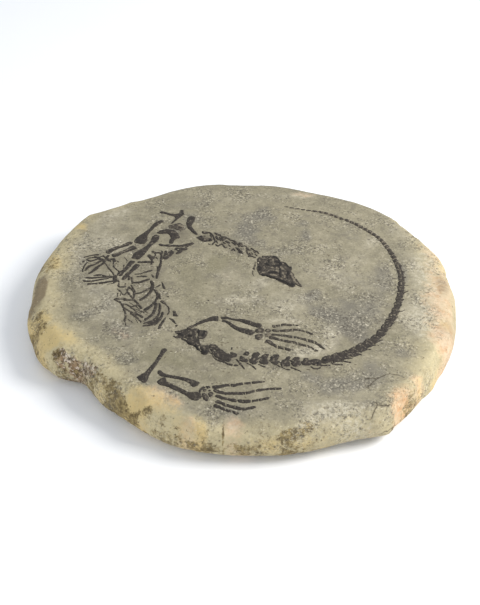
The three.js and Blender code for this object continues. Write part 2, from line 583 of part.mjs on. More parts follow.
// The first vertebrae as separate bones, the rest as knobbly rows
function addTail() {
  addBone('tail_root', TAIL_ROOT);
  const tail = tailWalker();
  for (let i = 0; i < SINGLE_VERTEBRAE; i += 1) {
    const { x, y, half, heading } = tail.at((i + FIRST_VERTEBRA) * VERTEBRA_PITCH);
    const along = VERTEBRA_PITCH - VERTEBRA_SPACE;
    const outline = VERTEBRA_OUTLINE.map(([u, v]) => [
      x + u * along * Math.cos(heading) - v * half * Math.sin(heading),
      y + u * along * Math.sin(heading) + v * half * Math.cos(heading),
    ]);
    addBone(`tail_vertebra_${i + 1}`, outline);
  }
  const lastSingle = SINGLE_VERTEBRAE - 1 + FIRST_VERTEBRA;
  let start = (lastSingle + 0.5) * VERTEBRA_PITCH + VERTEBRA_SPACE / 2;
  TAIL_ROWS.forEach(({ end, pitch }, row) => {
    const finish = end * tail.length;
    addTailRow(`tail_vertebrae_row_${row + 1}`, tail, start, finish, pitch);
    start = finish + VERTEBRA_SPACE;
  });
}

// A row of small vertebrae pressed together: wide at each vertebra and waisted between them
function addTailRow(name, tail, start, finish, pitch) {
  const steps = 2 * Math.round((finish - start) / pitch);
  const station = (distance, scale) => {
    const { x, y, half } = tail.at(distance);
    return [x, y, half * scale];
  };
  const knobs = [];
  for (let i = 0; i <= steps; i += 1) {
    knobs.push(station(start + ((finish - start) * i) / steps, i % 2 === 1 ? 1 : CHAIN_WAIST));
  }
  const pocketSteps = Math.round((finish - start) / CHAIN_POCKET_STEP);
  const groove = [];
  for (let i = 0; i <= pocketSteps; i += 1) {
    groove.push(station(start + ((finish - start) * i) / pocketSteps, 1));
  }
  addMesh(name, reliefGeometry(shaftOutline(knobs), BONE_DEPTH, BONE_RISE, CROWN_INSET), bone);
  cutPocket(shaftOutline(groove));
}

addHeadAndTrunk();
addLimbs();
addTail();

const slab = pockets.reduce((rest, pocket) => rest.subtract(pocket), toSolid(slabGeometry()));
addMesh('matrix_slab', fromSolid(slab), stone);

export default group;
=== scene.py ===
"""A small long-tailed reptile's skeleton, in low relief on the face of a rounded slab of stone.

Lengths are in millimetres, in the frame's axes, until a mesh is made, which is in metres.
"""

import math

import bpy
import numpy as np
from mathutils.bvhtree import BVHTree
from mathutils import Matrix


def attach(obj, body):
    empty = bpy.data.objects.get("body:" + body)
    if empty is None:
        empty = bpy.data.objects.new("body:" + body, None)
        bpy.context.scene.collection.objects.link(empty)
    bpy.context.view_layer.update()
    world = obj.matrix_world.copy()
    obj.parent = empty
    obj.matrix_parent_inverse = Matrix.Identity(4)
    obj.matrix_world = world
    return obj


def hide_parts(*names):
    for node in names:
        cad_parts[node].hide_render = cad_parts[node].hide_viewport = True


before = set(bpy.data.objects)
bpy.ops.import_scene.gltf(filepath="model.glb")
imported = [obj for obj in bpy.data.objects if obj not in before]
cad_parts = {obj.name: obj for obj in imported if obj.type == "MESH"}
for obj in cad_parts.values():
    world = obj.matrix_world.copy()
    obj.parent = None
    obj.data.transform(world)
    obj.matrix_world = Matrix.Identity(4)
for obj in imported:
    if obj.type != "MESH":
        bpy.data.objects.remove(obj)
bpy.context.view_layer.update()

MM = 0.001

# Slab: the dome of its face, and the rows of the mesh from the middle of the face outwards
FACE_HEIGHT = 34.2
FACE_FALL = 1.8
FACE_REFERENCE_RADIUS = 160.0
FACE_RINGS = 124
SHOULDER_RINGS = 20
UNDERSIDE_RINGS = 10
# How full the rim is above and below its widest line: 2 is a quarter of an ellipse
SHOULDER_FULLNESS = 2.4
UNDERSIDE_FULLNESS = 3.0

# Outline, counter-clockwise from the right: x and y of the widest line, width of the rounded
# shoulder inside it, height of the widest line, and how far the underside runs back under it
SLAB_OUTLINE = [
    (163, 18, 15, 17, 38), (158.5, 45.5, 14, 17, 38), (152, 60, 13, 18, 38), (139, 86.5, 12, 18, 38),
    (128.5, 100, 12, 18, 38), (117.5, 114, 12, 18, 38), (104.5, 124, 12, 18, 38), (80, 136.5, 12, 18, 38),
    (60.5, 143, 12, 18, 38), (38, 151.5, 12, 18, 38), (15, 155, 12, 18, 38), (-8, 156.5, 12, 18, 38),
    (-32, 156, 12, 18, 38), (-63.5, 147, 13, 18, 38), (-84.5, 135.5, 14, 18, 38),
    (-109.5, 123.5, 15, 18, 38), (-131, 110.5, 16, 18, 36), (-143, 90.5, 17, 18, 36),
    (-154.5, 63.5, 18, 17, 36), (-160.5, 45, 18, 16, 36), (-164.5, 22, 19, 16, 36),
    (-163.5, -5, 21, 16, 36), (-164, -23, 23, 15, 36), (-158, -44, 25, 14, 34), (-151, -58.5, 25, 14, 34),
    (-135.5, -74.5, 22, 14, 32), (-120, -80.5, 18, 15, 32), (-112.5, -87.5, 17, 15, 32),
    (-103, -101, 19, 14, 34), (-81, -122, 22, 14, 34), (-63.5, -136, 24, 14, 34),
    (-45.5, -145.5, 25, 14, 34), (-22, -151.5, 26, 14.5, 34), (-2, -153.5, 26, 14.5, 34),
    (14, -154, 25, 15, 34), (33.5, -152.5, 23, 15, 36), (58, -146.5, 20, 17, 40), (76, -141, 17, 18, 44),
    (100, -135.5, 12, 19, 40), (104, -129, 10, 17, 34), (125.5, -101, 10, 16, 32), (131, -95, 12, 15, 33),
    (143, -77, 14, 16, 34), (154.5, -49, 15, 16, 36), (160.5, -23, 15, 17, 38), (163, -3, 15, 17, 38),
]


# Repeatable noise on a lattice, for shapes
def lattice_values(ix, iy, iz, seed):
    mixed = (ix * 374761393 + iy * 668265263 + iz * 1440662683 + seed * 974634777) & 0xFFFFFFFF
    mixed = ((mixed ^ (mixed >> 13)) * 1274126177) & 0xFFFFFFFF
    mixed = ((mixed ^ (mixed >> 15)) * 2246822519) & 0xFFFFFFFF
    return (mixed ^ (mixed >> 16)) / 2147483647.5 - 1


def value_noise(x, y, z, size, seed):
    """Smooth noise from -1 to 1 with lumps of about this size."""
    cells = []
    blends = []
    for axis in (x, y, z):
        scaled = np.asarray(axis, float) / size
        low = np.floor(scaled)
        part = scaled - low
        cells.append(low.astype(np.int64))
        blends.append(part * part * part * (part * (part * 6 - 15) + 10))
    total = 0
    for corner in range(8):
        weight = 1
        at = []
        for axis in range(3):
            bit = (corner >> axis) & 1
            at.append(cells[axis] + bit)
            weight = weight * (blends[axis] if bit else 1 - blends[axis])
        total = total + weight * lattice_values(*at, seed)
    return total


def fractal(x, y, z, size, seed, octaves=3):
    total = 0
    for octave in range(octaves):
        total = total + value_noise(x, y, z, size / 2**octave, seed + octave) / 2**octave
    return total / (2 - 2 ** (1 - octaves))


def smoothstep(low, high, value):
    part = np.clip((value - low) / (high - low), 0, 1)
    return part * part * (3 - 2 * part)


# Shape of the slab
def dome(x, y):
    return FACE_HEIGHT - FACE_FALL * (x * x + y * y) / FACE_REFERENCE_RADIUS**2


# Swell of the split face: height, size of the lumps and seed of the broad and of the small one
FACE_SWELL = [(0.42, 75.0, 11), (0.13, 13.0, 12)]


def swell(x, y, z):
    """How far the split face stands above or below its dome."""
    return sum(height * fractal(x, y, z, size, seed) for height, size, seed in FACE_SWELL)


def slab_rows(angles):
    """Radius, shoulder, height of the widest line and undercut at each angle round the slab."""
    rows = sorted((math.atan2(y, x), math.hypot(x, y), *rest) for x, y, *rest in SLAB_OUTLINE)
    known = np.array(rows)
    turn = np.array([2 * math.pi] + [0] * (known.shape[1] - 1))
    known = np.vstack([known[-2:] - turn, known, known[:2] + turn])
    at, values = known[:, 0], known[:, 1:]
    slopes = (values[2:] - values[:-2]) / (at[2:] - at[:-2])[:, None]
    i = np.clip(np.searchsorted(at, angles, side="right") - 1, 1, len(at) - 3)
    span = (at[i + 1] - at[i])[:, None]
    t = (angles - at[i])[:, None] / span
    low, high = values[i], values[i + 1]
    low_slope, high_slope = slopes[i - 1] * span, slopes[i] * span
    return (
        (2 * t**3 - 3 * t**2 + 1) * low + (t**3 - 2 * t**2 + t) * low_slope
        + (3 * t**2 - 2 * t**3) * high + (t**3 - t**2) * high_slope
    ).T


def rim_step(part, fullness):
    """How far out and how far up the rim is, from 0 at its inner end to 1 at the widest line."""
    angle = part * math.pi / 2
    power = 2 / fullness
    return math.sin(angle) ** power, math.sin(math.pi / 2 - angle) ** power


# Flat chips off the rim, and the bitten corner at the left
RIM_CHIPS = 60
CHIP_SEEDS = 40
CHIP_DEPTH = (0.15, 0.7)
CHIP_PLACE = (0.2, 0.95)
CHIP_TILT = 0.08
CHIP_GRAIN = 5.0
CHIP_ROUGHNESS = 0.15
CHIP_DEEPEST = 4.0
CHIP_FADES = (0.7, 1)
# How far below the middle of the face the shoulder is reckoned to start, for the chips
FACE_DROP = 2
CHIP_REACH = 30.0
NOTCH = (-122.0, -77.0, 22.0)
NOTCH_REACH = 15.0
NOTCH_BREAK = 2.6
NOTCH_GRAIN = 4.5
NOTCH_SINK = 1.4
NOTCH_FADES = (0.5, 1.3)
# The rim is most rugged near the bitten corner: middle of that stretch, and where it fades out
RUGGED_MIDDLE = (NOTCH[0] + 12, NOTCH[1] - 14)
RUGGED_REACH = (20, 75)
RUGGED_LEAST = 0.35
# Roughness of the rim: height and size of its broad lumps, its knobs and its pits
RIM_LUMP, LUMP_SIZE = 0.7, 24.0
RIM_KNOB, KNOB_SIZE = 0.6, 7.0
RIM_PIT, PIT_SIZE = -1.5, 6.0
PIT_EDGE = (0.4, 0.8)
# Stretches of the rim, from 0 on the face over 1 at the widest line to 2 on the underside
RIM_STARTS = (0.0, 0.5)
RIM_ENDS = (1.7, 2.0)
NORMAL_TURNS = (0.0, 0.35)
CHIPS_START = (0.12, 0.5)


def ring_indices(m):
    """Places on a square grid of 2m cells, in rings round its middle: list of index arrays."""
    index = -np.ones((2 * m + 1, 2 * m + 1), int)
    rings = [np.array([0])]
    index[m, m] = 0
    count = 1
    for k in range(1, m + 1):
        side = np.arange(2 * k)
        i = np.concatenate([np.full(2 * k, k), k - side, np.full(2 * k, -k), side - k])
        j = np.concatenate([side - k, np.full(2 * k, k), k - side, np.full(2 * k, -k)])
        index[m + i, m + j] = count + np.arange(8 * k)
        rings.append(count + np.arange(8 * k))
        count += 8 * k
    return index, rings


def disc_faces(index):
    a = index[:-1, :-1].ravel()
    b = index[1:, :-1].ravel()
    c = index[1:, 1:].ravel()
    d = index[:-1, 1:].ravel()
    return np.stack([a, b, c, d], 1).tolist()


def disc_points(m):
    """Radius share and angle of every place in ring_indices' order."""
    share = [np.zeros(1)]
    angle = [np.zeros(1)]
    for k in range(1, m + 1):
        share.append(np.full(8 * k, k / m))
        angle.append((np.arange(8 * k) / (8 * k)) * 2 * math.pi - math.pi / 4)
    return np.concatenate(share), np.concatenate(angle)


def wrap(angles):
    return (angles + math.pi) % (2 * math.pi) - math.pi


def band_faces(upper, lower):
    """Quads between two rings of as many points, upper above or inside lower."""
    return np.stack([upper, lower, np.roll(lower, -1), np.roll(upper, -1)], 1).tolist()


def halving_faces(upper, lower):
    """Five-sided faces from a ring to one of half as many points below it."""
    n = len(lower)
    return [
        [int(upper[2 * i]), int(lower[i]), int(lower[(i + 1) % n]), int(upper[(2 * i + 2) % (2 * n)]),
         int(upper[2 * i + 1])]
        for i in range(n)
    ]


def at_angle(radius, angle, height):
    return np.stack([radius * np.cos(angle), radius * np.sin(angle), height], 1)


def slab_base():
    """Points of the undisturbed slab, how far each is round the rim (0 on the face), and faces."""
    index, rings = ring_indices(FACE_RINGS)
    share, angle = disc_points(FACE_RINGS)
    radius, shoulder = slab_rows(wrap(angle))[:2]
    face = at_angle((radius - shoulder) * share, angle, 0 * share)
    face[:, 2] = dome(face[:, 0], face[:, 1])
    parts = [face]
    around = [np.zeros(len(face))]
    faces = disc_faces(index)
    above = rings[-1]
    theta = angle[above]
    radius, shoulder, waist, undercut = slab_rows(wrap(theta))
    edge = dome((radius - shoulder) * np.cos(theta), (radius - shoulder) * np.sin(theta))
    count = len(face)
    for step in range(1, SHOULDER_RINGS + UNDERSIDE_RINGS + 1):
        below = step - SHOULDER_RINGS
        halve = below in (UNDERSIDE_RINGS // 2, UNDERSIDE_RINGS)
        if halve:
            theta, radius, waist, undercut = (v[::2] for v in (theta, radius, waist, undercut))
        if below <= 0:
            out, up = rim_step(step / SHOULDER_RINGS, SHOULDER_FULLNESS)
            ring_radius = radius - shoulder * (1 - out)
            height = waist + (edge - waist) * up
            along = step / SHOULDER_RINGS
        else:
            out, up = rim_step(1 - below / UNDERSIDE_RINGS, UNDERSIDE_FULLNESS)
            ring_radius = radius - undercut * (1 - out)
            height = waist * (1 - up)
            along = 1 + below / UNDERSIDE_RINGS
        parts.append(at_angle(ring_radius, theta, height))
        around.append(np.full(len(theta), along))
        ring = count + np.arange(len(theta))
        faces += halving_faces(above, ring) if halve else band_faces(above, ring)
        count += len(theta)
        above = ring
    index = ring_indices(len(above) // 8)[0]
    share, angle = disc_points(len(above) // 8)
    inner = share < 1
    radius, _, _, undercut = slab_rows(wrap(angle))
    parts.append(at_angle((radius - undercut) * share, angle, 0 * share)[inner])
    around.append(np.full(inner.sum(), 2.0))
    where = np.concatenate([count + np.arange(inner.sum()), above])
    faces += [[int(where[v]) for v in reversed(face)] for face in disc_faces(index)]
    return np.concatenate(parts), np.concatenate(around), faces


def vertex_normals(points, faces):
    normals = np.zeros_like(points)
    for size in (4, 5):
        chosen = np.array([f for f in faces if len(f) == size])
        if len(chosen) == 0:
            continue
        across = points[chosen[:, 2]] - points[chosen[:, 0]]
        other = points[chosen[:, 3]] - points[chosen[:, 1]]
        flat = np.cross(across, other)
        for corner in range(size):
            np.add.at(normals, chosen[:, corner], flat)
    return normals / np.maximum(np.linalg.norm(normals, axis=1), 1e-12)[:, None]


def chip(points, around, at, towards, seed):
    """Takes off what stands outside a plane, leaving a slightly rough flat on the rim."""
    towards = towards / np.linalg.norm(towards)
    x, y, z = points.T
    outside = (points - at) @ towards + CHIP_ROUGHNESS * fractal(x, y, z, CHIP_GRAIN, seed)
    far = np.linalg.norm(points - at, axis=1) / CHIP_REACH
    fading = 1 - smoothstep(*CHIP_FADES, far)
    cut = np.clip(outside, 0, CHIP_DEEPEST) * smoothstep(*CHIPS_START, around) * fading
    return points - towards * cut[:, None]


def rim_lumps(x, y, z):
    """Lumps, knobs and pits of the weathered rim."""
    near = 1 - smoothstep(*RUGGED_REACH, np.hypot(x - RUGGED_MIDDLE[0], y - RUGGED_MIDDLE[1]))
    rugged = RUGGED_LEAST + (1 - RUGGED_LEAST) * near
    lumps = RIM_LUMP * fractal(x, y, z, LUMP_SIZE, 21)
    knobs = RIM_KNOB * rugged * fractal(x, y, z, KNOB_SIZE, 22)
    pits = RIM_PIT * rugged * smoothstep(*PIT_EDGE, fractal(x, y, z, PIT_SIZE, 25))
    return lumps + knobs + pits


def notch_break(base):
    """The bitten corner: sunk, with a coarse broken surface."""
    x, y, z = base.T
    away = np.linalg.norm(base - np.array(NOTCH), axis=1) / NOTCH_REACH
    broken = NOTCH_BREAK * fractal(x, y, z, NOTCH_GRAIN, 31, 4) - NOTCH_SINK
    return (1 - smoothstep(*NOTCH_FADES, away)) * broken


def chip_rim(points, around):
    """Chips at random places, each square to the rim where it is."""
    random = np.random.default_rng(5)
    for number in range(RIM_CHIPS):
        angle = random.uniform(-math.pi, math.pi)
        out, up = rim_step(random.uniform(*CHIP_PLACE), SHOULDER_FULLNESS)
        depth = random.uniform(*CHIP_DEPTH)
        radius, shoulder, waist, _ = slab_rows(np.array([angle]))[:, 0]
        rise = FACE_HEIGHT - FACE_DROP - waist
        outward = np.array([math.cos(angle), math.sin(angle), 0])
        at = outward * (radius - shoulder * (1 - out)) + np.array([0, 0, waist + rise * up])
        steep = SHOULDER_FULLNESS - 1
        lean = math.atan2(shoulder * up**steep, rise * out**steep)
        towards = outward * math.cos(lean) + np.array([0, 0, 1]) * math.sin(lean)
        towards = towards + random.normal(0, CHIP_TILT, 3)
        near = np.linalg.norm(points - at, axis=1) < CHIP_REACH
        points[near] = chip(points[near], around[near], at - towards * depth, towards, CHIP_SEEDS + number)


def slab_points():
    base, around, faces = slab_base()
    x, y, z = base.T
    turned = smoothstep(*NORMAL_TURNS, around)[:, None]
    direction = (1 - turned) * np.array([0, 0, 1.0]) + vertex_normals(base, faces) * turned
    direction /= np.linalg.norm(direction, axis=1)[:, None]
    above = 1 - smoothstep(*RIM_ENDS, around)
    on_rim = smoothstep(*RIM_STARTS, around) * above
    amount = swell(x, y, z) * above + on_rim * rim_lumps(x, y, z) + on_rim * notch_break(base)
    points = base + direction * amount[:, None]
    chip_rim(points, around)
    points[:, 2] = np.maximum(points[:, 2], 0)
    return points, around, faces


# Colour zones of the stone, in plan: x, y, reach along, reach across, turn in degrees, strength
ZONES = {
    "olive": [(-45, 22, 18, 26, 0, 0.6), (-20, 29, 9, 14, 0, 0.85), (-8, 37, 12, 6, 0, 0.7),
        (-40, -14, 18, 24, 0, 0.45), (-58, -82, 22, 9, -10, 0.8), (-42, -88, 14, 8, 0, 0.6),
        (-86, -82, 15, 8, 0, 0.7), (-60, -64, 14, 8, 0, 0.3), (0, 125, 60, 14, 0, 0.2),
        (-70, 108, 30, 8, 20, 0.3), (-125, -35, 12, 9, 0, 0.6), (108, -60, 9, 7, 0, 0.6),
        (-15, -100, 24, 7, 0, 0.4), (-20, -62, 16, 8, -30, 0.4), (0, -128, 26, 10, 0, 0.35)],
    "grey": [(75, -48, 15, 17, 0, 0.8), (76, 8, 17, 18, 0, 0.35), (-57, 80, 8, 8, 0, 1),
        (-52, 84, 7, 5, 0, 0.6), (-100, -28, 26, 24, 0, 0.25), (5, 73, 10, 20, 0, 0.8),
        (15, 100, 13, 12, 0, 0.75), (0, 92, 16, 22, 0, 0.4), (14, 58, 10, 8, 0, 0.6),
        (-8, 62, 14, 10, -30, 0.4), (50, 70, 6, 12, 0, 0.7), (48, 88, 8, 6, 0, 0.5),
        (50, -12, 9, 8, 0, 0.85), (61, -28, 11, 8, -30, 0.9), (68, -39, 8, 7, 0, 0.9),
        (76, -50, 8, 14, 0, 1), (90, -25, 20, 16, 0, 0.45), (82, -60, 9, 12, 0, 0.9),
        (100, 0, 14, 24, 0, 0.55), (108, 12, 7, 20, 0, 0.5), (122, 18, 5, 16, 0, 0.75),
        (72, -106, 24, 10, 0, 0.8), (92, -96, 9, 14, 0, 0.65), (48, -101, 12, 7, 0, 0.55),
        (88, -128, 11, 8, 0, 0.7), (60, -117, 14, 6, 0, 0.4), (116, -76, 13, 7, -20, 0.7),
        (84, -36, 26, 24, 0, 0.45), (70, -22, 24, 14, 0, 0.35), (-40, 96, 13, 8, 0, 0.6),
        (-28, 84, 10, 7, 0, 0.4), (-45, 112, 26, 8, 15, 0.4), (5, 128, 9, 5, 0, 0.3),
        (30, 128, 20, 6, 0, 0.2), (-124, 12, 8, 11, 0, 0.25), (-110, -6, 11, 8, 0, 0.3),
        (-124, -34, 11, 7, 0, 0.6), (-104, -22, 8, 8, 0, 0.4), (-90, -54, 15, 10, -20, 0.6),
        (-86, -82, 14, 7, 0, 0.5), (-128, 34, 6, 10, 0, 0.5), (62, 98, 20, 6, 0, 0.3),
        (85, 75, 16, 16, 0, 0.3), (30, 46, 20, 8, 0, 0.4), (-5, -137, 24, 6, 0, 0.5),
        (-21, -146, 6, 5, 0, 0.7), (114, -104, 9, 8, 45, 0.5), (102, -124, 7, 8, 45, 0.5)],
    "pink": [(147, -22, 14, 56, 0, 0.65), (146, 50, 12, 24, 10, 0.5), (149, -62, 11, 22, -20, 0.7),
        (-4, -149, 10, 8, 0, 0.6), (90, -142, 14, 6, 0, 0.4), (-60, -128, 20, 12, -28, 0.5),
        (-36, -147, 12, 6, -12, 0.5), (-90, -56, 12, 8, -20, 0.25), (50, 132, 14, 5, 0, 0.4),
        (-10, 14, 12, 8, 0, 0.15)],
    "orange": [(109, -126, 11, 15, 45, 0.8), (121, -109, 9, 10, 42, 0.75)],
    "ochre": [(-152, -36, 8, 14, 10, 0.9), (-145, -54, 13, 11, 0, 0.85), (-142, -64, 12, 9, 0, 0.85),
        (-134, -62, 12, 7, -20, 0.45), (-62, -125, 26, 9, -32, 0.4), (-30, -147, 5, 8, 20, 0.7),
        (16, -157, 18, 5, 4, 0.7), (40, -154, 10, 4, 4, 0.6), (-71, -117, 7, 6, -30, 0.4),
        (-60, -134, 18, 9, -28, 0.4), (-40, -147, 14, 5, -12, 0.4), (-118, -88, 9, 6, 0, 0.9),
        (140, -84, 8, 16, -35, 0.6), (111, -124, 9, 9, 45, 0.25), (122, -108, 8, 7, 45, 0.5),
        (-150, 38, 7, 16, 20, 0.6), (-102, -104, 8, 10, 40, 0.5), (-137, 86, 7, 16, 45, 0.7),
        (-121, 108, 16, 5, 28, 0.6), (-162, -20, 6, 30, 0, 0.6), (-76, -124, 14, 6, -35, 0.8),
        (154, 30, 6, 14, 0, 0.4), (60, -150, 14, 4, -10, 0.3), (-6, -14, 20, 6, 0, 0.12),
        (-128, -62, 14, 8, -40, 0.35), (52, -136, 22, 6, 0, 0.2), (150, -44, 8, 10, 0, 0.4)],
    # Brown stains; the thin band at (-160, 30) along the left edge is partly the stone's olive tone, partly
    # painted shade on the side away from the key light
    "brown": [(-134, -72, 5, 4, 0, 0.9), (-151, 32, 7, 13, -10, 0.68), (-160, 30, 4, 22, -12, 0.6),
        (-114, -84, 10, 4, -40, 0.5), (-126, -85, 16, 3.5, -8, 0.8), (-104, -92, 6, 6, 0, 0.7),
        (-92, -107, 10, 9, -40, 0.8), (-85, -115, 6, 12, 35, 0.9), (-98, -98, 7, 5, -40, 0.5),
        (-79, -125, 8, 4, -40, 0.9), (-73, -127, 6, 3, -30, 0.7), (-66, -131, 5, 4, -25, 0.7),
        (-56, -138, 5, 3, -10, 0.6), (-47, -144, 6, 3, 0, 0.6), (28, -151, 10, 3.5, 6, 0.9),
        (40, -147, 7, 4, 20, 0.9), (14, -154, 10, 3, 0, 0.4), (-148, -45, 8, 11, 0, 0.65),
        (-153, -40, 5, 12, 0, 0.6), (117, -114, 12, 4, 47, 0.6), (102, -131, 5, 5, 0, 0.6),
        (-153, -28, 5, 5, 0, 0.7), (55, -151, 8, 3, 0, 0.5), (-139, -62, 4, 4, 0, 0.4),
        (96, -136, 9, 3, 0, 0.4), (141, -88, 9, 3, 60, 0.45), (5, 128, 6, 3, 0, 0.3),
        (-14, -149, 1.2, 8, 0, 0.9), (-27, -150, 8, 4, 0, 0.5), (-36, -134, 5, 3, 0, 0.3),
        (12, -148, 9, 6, 0, 0.35), (70, -120, 20, 12, 0, 0.15), (108, -120, 12, 9, 45, 0.35),
        (130, -95, 8, 6, 50, 0.35), (-70, -60, 50, 40, 0, 0.12), (60, -134, 26, 10, 0, 0.2),
        (-112, -92, 12, 5, -40, 0.6)],
    "umber": [(-157, -1, 8, 23, -4, 0.95), (150, 2, 7, 20, 0, 0.42)],
    "rust": [(-131, -73, 6, 4, -20, 1), (-122, -77, 8, 3.5, -20, 0.8), (-112, -82, 7, 4, -35, 0.7),
        (-106, -88, 5, 4, -50, 0.8), (-126, -84, 15, 3.5, -8, 0.8)],
    "shade": [(78, -57, 9, 15, 0, 0.6), (60, -84, 14, 6, 15, 0.5), (-56, 79, 10, 9, 0, 0.8),
        (-98, 48, 12, 7, 30, 0.4), (-57, -33, 5, 6, 0, 0.5), (-12, 56, 34, 8, -36, 0.8),
        (-14, 57, 30, 7, -25, 0.5), (-78, 0, 16, 42, 4, 0.6), (-60, 44, 18, 8, 20, 0.8),
        (-52, 76, 13, 18, 0, 0.9), (-84, 62, 24, 8, 50, 0.6), (-110, 26, 22, 22, 0, 0.4),
        (-40, -60, 14, 10, -30, 0.9), (-22, -77, 16, 8, -40, 0.9), (18, -85, 44, 8, 0, 0.8),
        (160, -12, 9, 48, 0, 0.4), (153, -48, 9, 20, -20, 0.5), (12, -56, 9, 8, 0, 0.6),
        (-27, -118, 7, 8, 0, 0.7), (102, -50, 7, 30, -25, 0.4), (-72, -30, 16, 18, 30, 0.7),
        (40, -58, 18, 12, -20, 0.3), (-5, -125, 22, 12, 0, 0.3)],
    "smooth": [(-66, -127, 28, 11, -30, 0.8), (-42, -140, 16, 9, -14, 0.8), (-136, -62, 18, 9, -30, 0.8),
        (84, -146, 16, 7, 0, 0.9), (109, -127, 6, 8, 45, 0.5), (151, 0, 8, 16, 0, 1),
        (-5, -149, 11, 8, 0, 0.7), (-157, -4, 8, 16, 0, 0.6), (150, -40, 10, 40, 0, 0.4)],
    "crack": [(97, -106, 14, 10, 0, 1), (92, -130, 16, 8, 0, 0.9), (-30, -140, 10, 8, 0, 0.7)],
    "white": [(-105, -26, 26, 26, 0, 0.5), (-114, 4, 14, 20, 0, 0.45), (-112, 90, 22, 14, 38, 0.5),
        (-125, -74, 5, 3.5, -20, 1), (-112, -80, 5, 2.5, -30, 1), (37, -146, 4, 1.6, 20, 1),
        (-15, 15, 14, 10, 0, 0.4), (0, 126, 60, 14, 0, 0.3), (8, 6, 14, 9, 0, 0.6),
        (-8, -14, 22, 8, 0, 0.45), (35, -20, 22, 14, 0, 0.6), (30, -42, 22, 7, 0, 0.6),
        (48, -74, 20, 6, 10, 0.8), (64, -60, 8, 12, 0, 0.7), (70, 15, 22, 20, 0, 0.45),
        (105, 58, 14, 12, 0, 0.6), (85, 40, 18, 14, 0, 0.35), (50, 130, 16, 6, 0, 0.6),
        (-112, 58, 20, 22, 0, 0.7), (-132, 40, 7, 30, 0, 0.6), (-104, 104, 16, 7, 30, 0.6),
        (-115, -84, 9, 6, 0, 0.7), (62, -134, 34, 12, 0, 0.7), (54, -140, 26, 8, 8, 0.8),
        (68, -134, 14, 10, 0, 0.6), (76, -116, 18, 8, 0, 0.4), (-4, -146, 8, 8, 0, 0.6),
        (-66, -124, 24, 9, -32, 0.2), (-42, -136, 22, 8, -14, 0.35), (132, -40, 14, 30, 10, 0.9),
        (138, 20, 14, 44, 0, 0.8), (-100, 10, 10, 14, 0, 0.3), (128, 78, 12, 16, 30, 0.5),
        (-106, -86, 12, 7, 0, 0.5), (-108, -100, 5, 4, 0, 0.6), (0, -12, 14, 9, 0, 0.4),
        (-70, 100, 14, 8, 30, 0.3)],
}
# Pale skin round the slab: angle in degrees, distance in from the widest line, and strength
CREAM_REACH = [
    (-180, 28, 1), (-150, 26, 1), (-130, 18, 1), (-110, 14, 1), (-90, 10, 0.75), (-60, 10, 0.6),
    (-45, 14, 0.7), (-20, 22, 0.9), (0, 26, 0.9), (20, 17, 0.8), (40, 8, 0.6), (70, 4, 0.5), (100, 4, 0.5),
    (130, 13, 1), (160, 20, 1), (180, 28, 1),
]


# Edges of the zones: how far broad and fine noise push them about, and the size of its lumps
ZONE_SWAY, SWAY_SIZE = 7.0, 28.0
ZONE_FRAY, FRAY_SIZE = 3.0, 9.0
ZONE_EDGE = (0.2, 1.4)
# Zones narrower than this are pushed about less
SMALL_ZONE = 12
# Cream skin: how much its width varies, over which length, and where its edge fades
CREAM_VARIES, CREAM_LENGTH = 0.5, 34.0
CREAM_EDGE = (0.1, 1.9)
# The dark seam is painted shade in the crease under the rim, mottled with the stone's own dark speckles
# Dark seam: where it starts and ends round the rim, and the stretches it fades out over in plan
SEAM_STARTS = (0.78, 0.98)
SEAM_ENDS = (1.15, 1.5)
SEAM_AT_LEFT = (-80, 0)
SEAM_AT_FRONT = (-40, 10)
SEAM_AT_RIGHT = (30, 80)
SEAM_USUAL, SEAM_VARIES, SEAM_LENGTH = 0.55, 0.5, 12.0


def pushed(value, x, y, z, seed):
    broad = ZONE_SWAY * value_noise(x, y, z, SWAY_SIZE, seed)
    return value + broad + ZONE_FRAY * fractal(x, y, z, FRAY_SIZE, seed + 2)


def zone_strength(points, zones):
    x, y, z = points.T
    pushed_x = pushed(x, x, y, z, 61)
    pushed_y = pushed(y, x, y, z, 62)
    free = np.ones(len(points))
    for cx, cy, along, across, turn, strength in zones:
        angle = math.radians(turn)
        small = min(1.0, min(along, across) / SMALL_ZONE)
        dx = x + small * (pushed_x - x) - cx
        dy = y + small * (pushed_y - y) - cy
        u = (dx * math.cos(angle) + dy * math.sin(angle)) / along
        v = (dy * math.cos(angle) - dx * math.sin(angle)) / across
        free = free * (1 - strength * (1 - smoothstep(*ZONE_EDGE, np.hypot(u, v))))
    return 1 - free


def cream_strength(points, around):
    """Pale weathered skin of the nodule: all round the rim and under it, widest at the left and right."""
    x, y, z = points.T
    angle = np.arctan2(y, x)
    known = np.array(CREAM_REACH, float)
    reach, most = (np.interp(np.degrees(angle), known[:, 0], known[:, k]) for k in (1, 2))
    reach = reach * (1 + CREAM_VARIES * fractal(x, y, z, CREAM_LENGTH, 71))
    inward = slab_rows(angle)[0] - np.hypot(x, y)
    return most * np.where(around > 1, 1.0, 1 - smoothstep(*CREAM_EDGE, inward / reach))


def seam_shade_strength(points, around):
    """Crease where the rim turns under, at the front and the left: the stone's own dark speckles and painted
    shade.
    """
    x, y, z = points.T
    turned = smoothstep(*SEAM_STARTS, around) * (1 - smoothstep(*SEAM_ENDS, around))
    shaded = smoothstep(*SEAM_AT_LEFT, -x - 1.2 * y) * smoothstep(*SEAM_AT_FRONT, -y)
    shaded = shaded * (1 - smoothstep(*SEAM_AT_RIGHT, x))
    return turned * shaded * (SEAM_USUAL + SEAM_VARIES * fractal(x, y, z, SEAM_LENGTH, 81))


def new_object(name, points, faces, material, smooth=True):
    mesh = bpy.data.meshes.new(name)
    mesh.from_pydata((np.asarray(points) * MM).tolist(), [], faces)
    mesh.materials.append(material)
    if smooth:
        mesh.shade_smooth()
    mesh.update()
    piece = bpy.data.objects.new(name, mesh)
    bpy.context.scene.collection.objects.link(piece)
    return piece


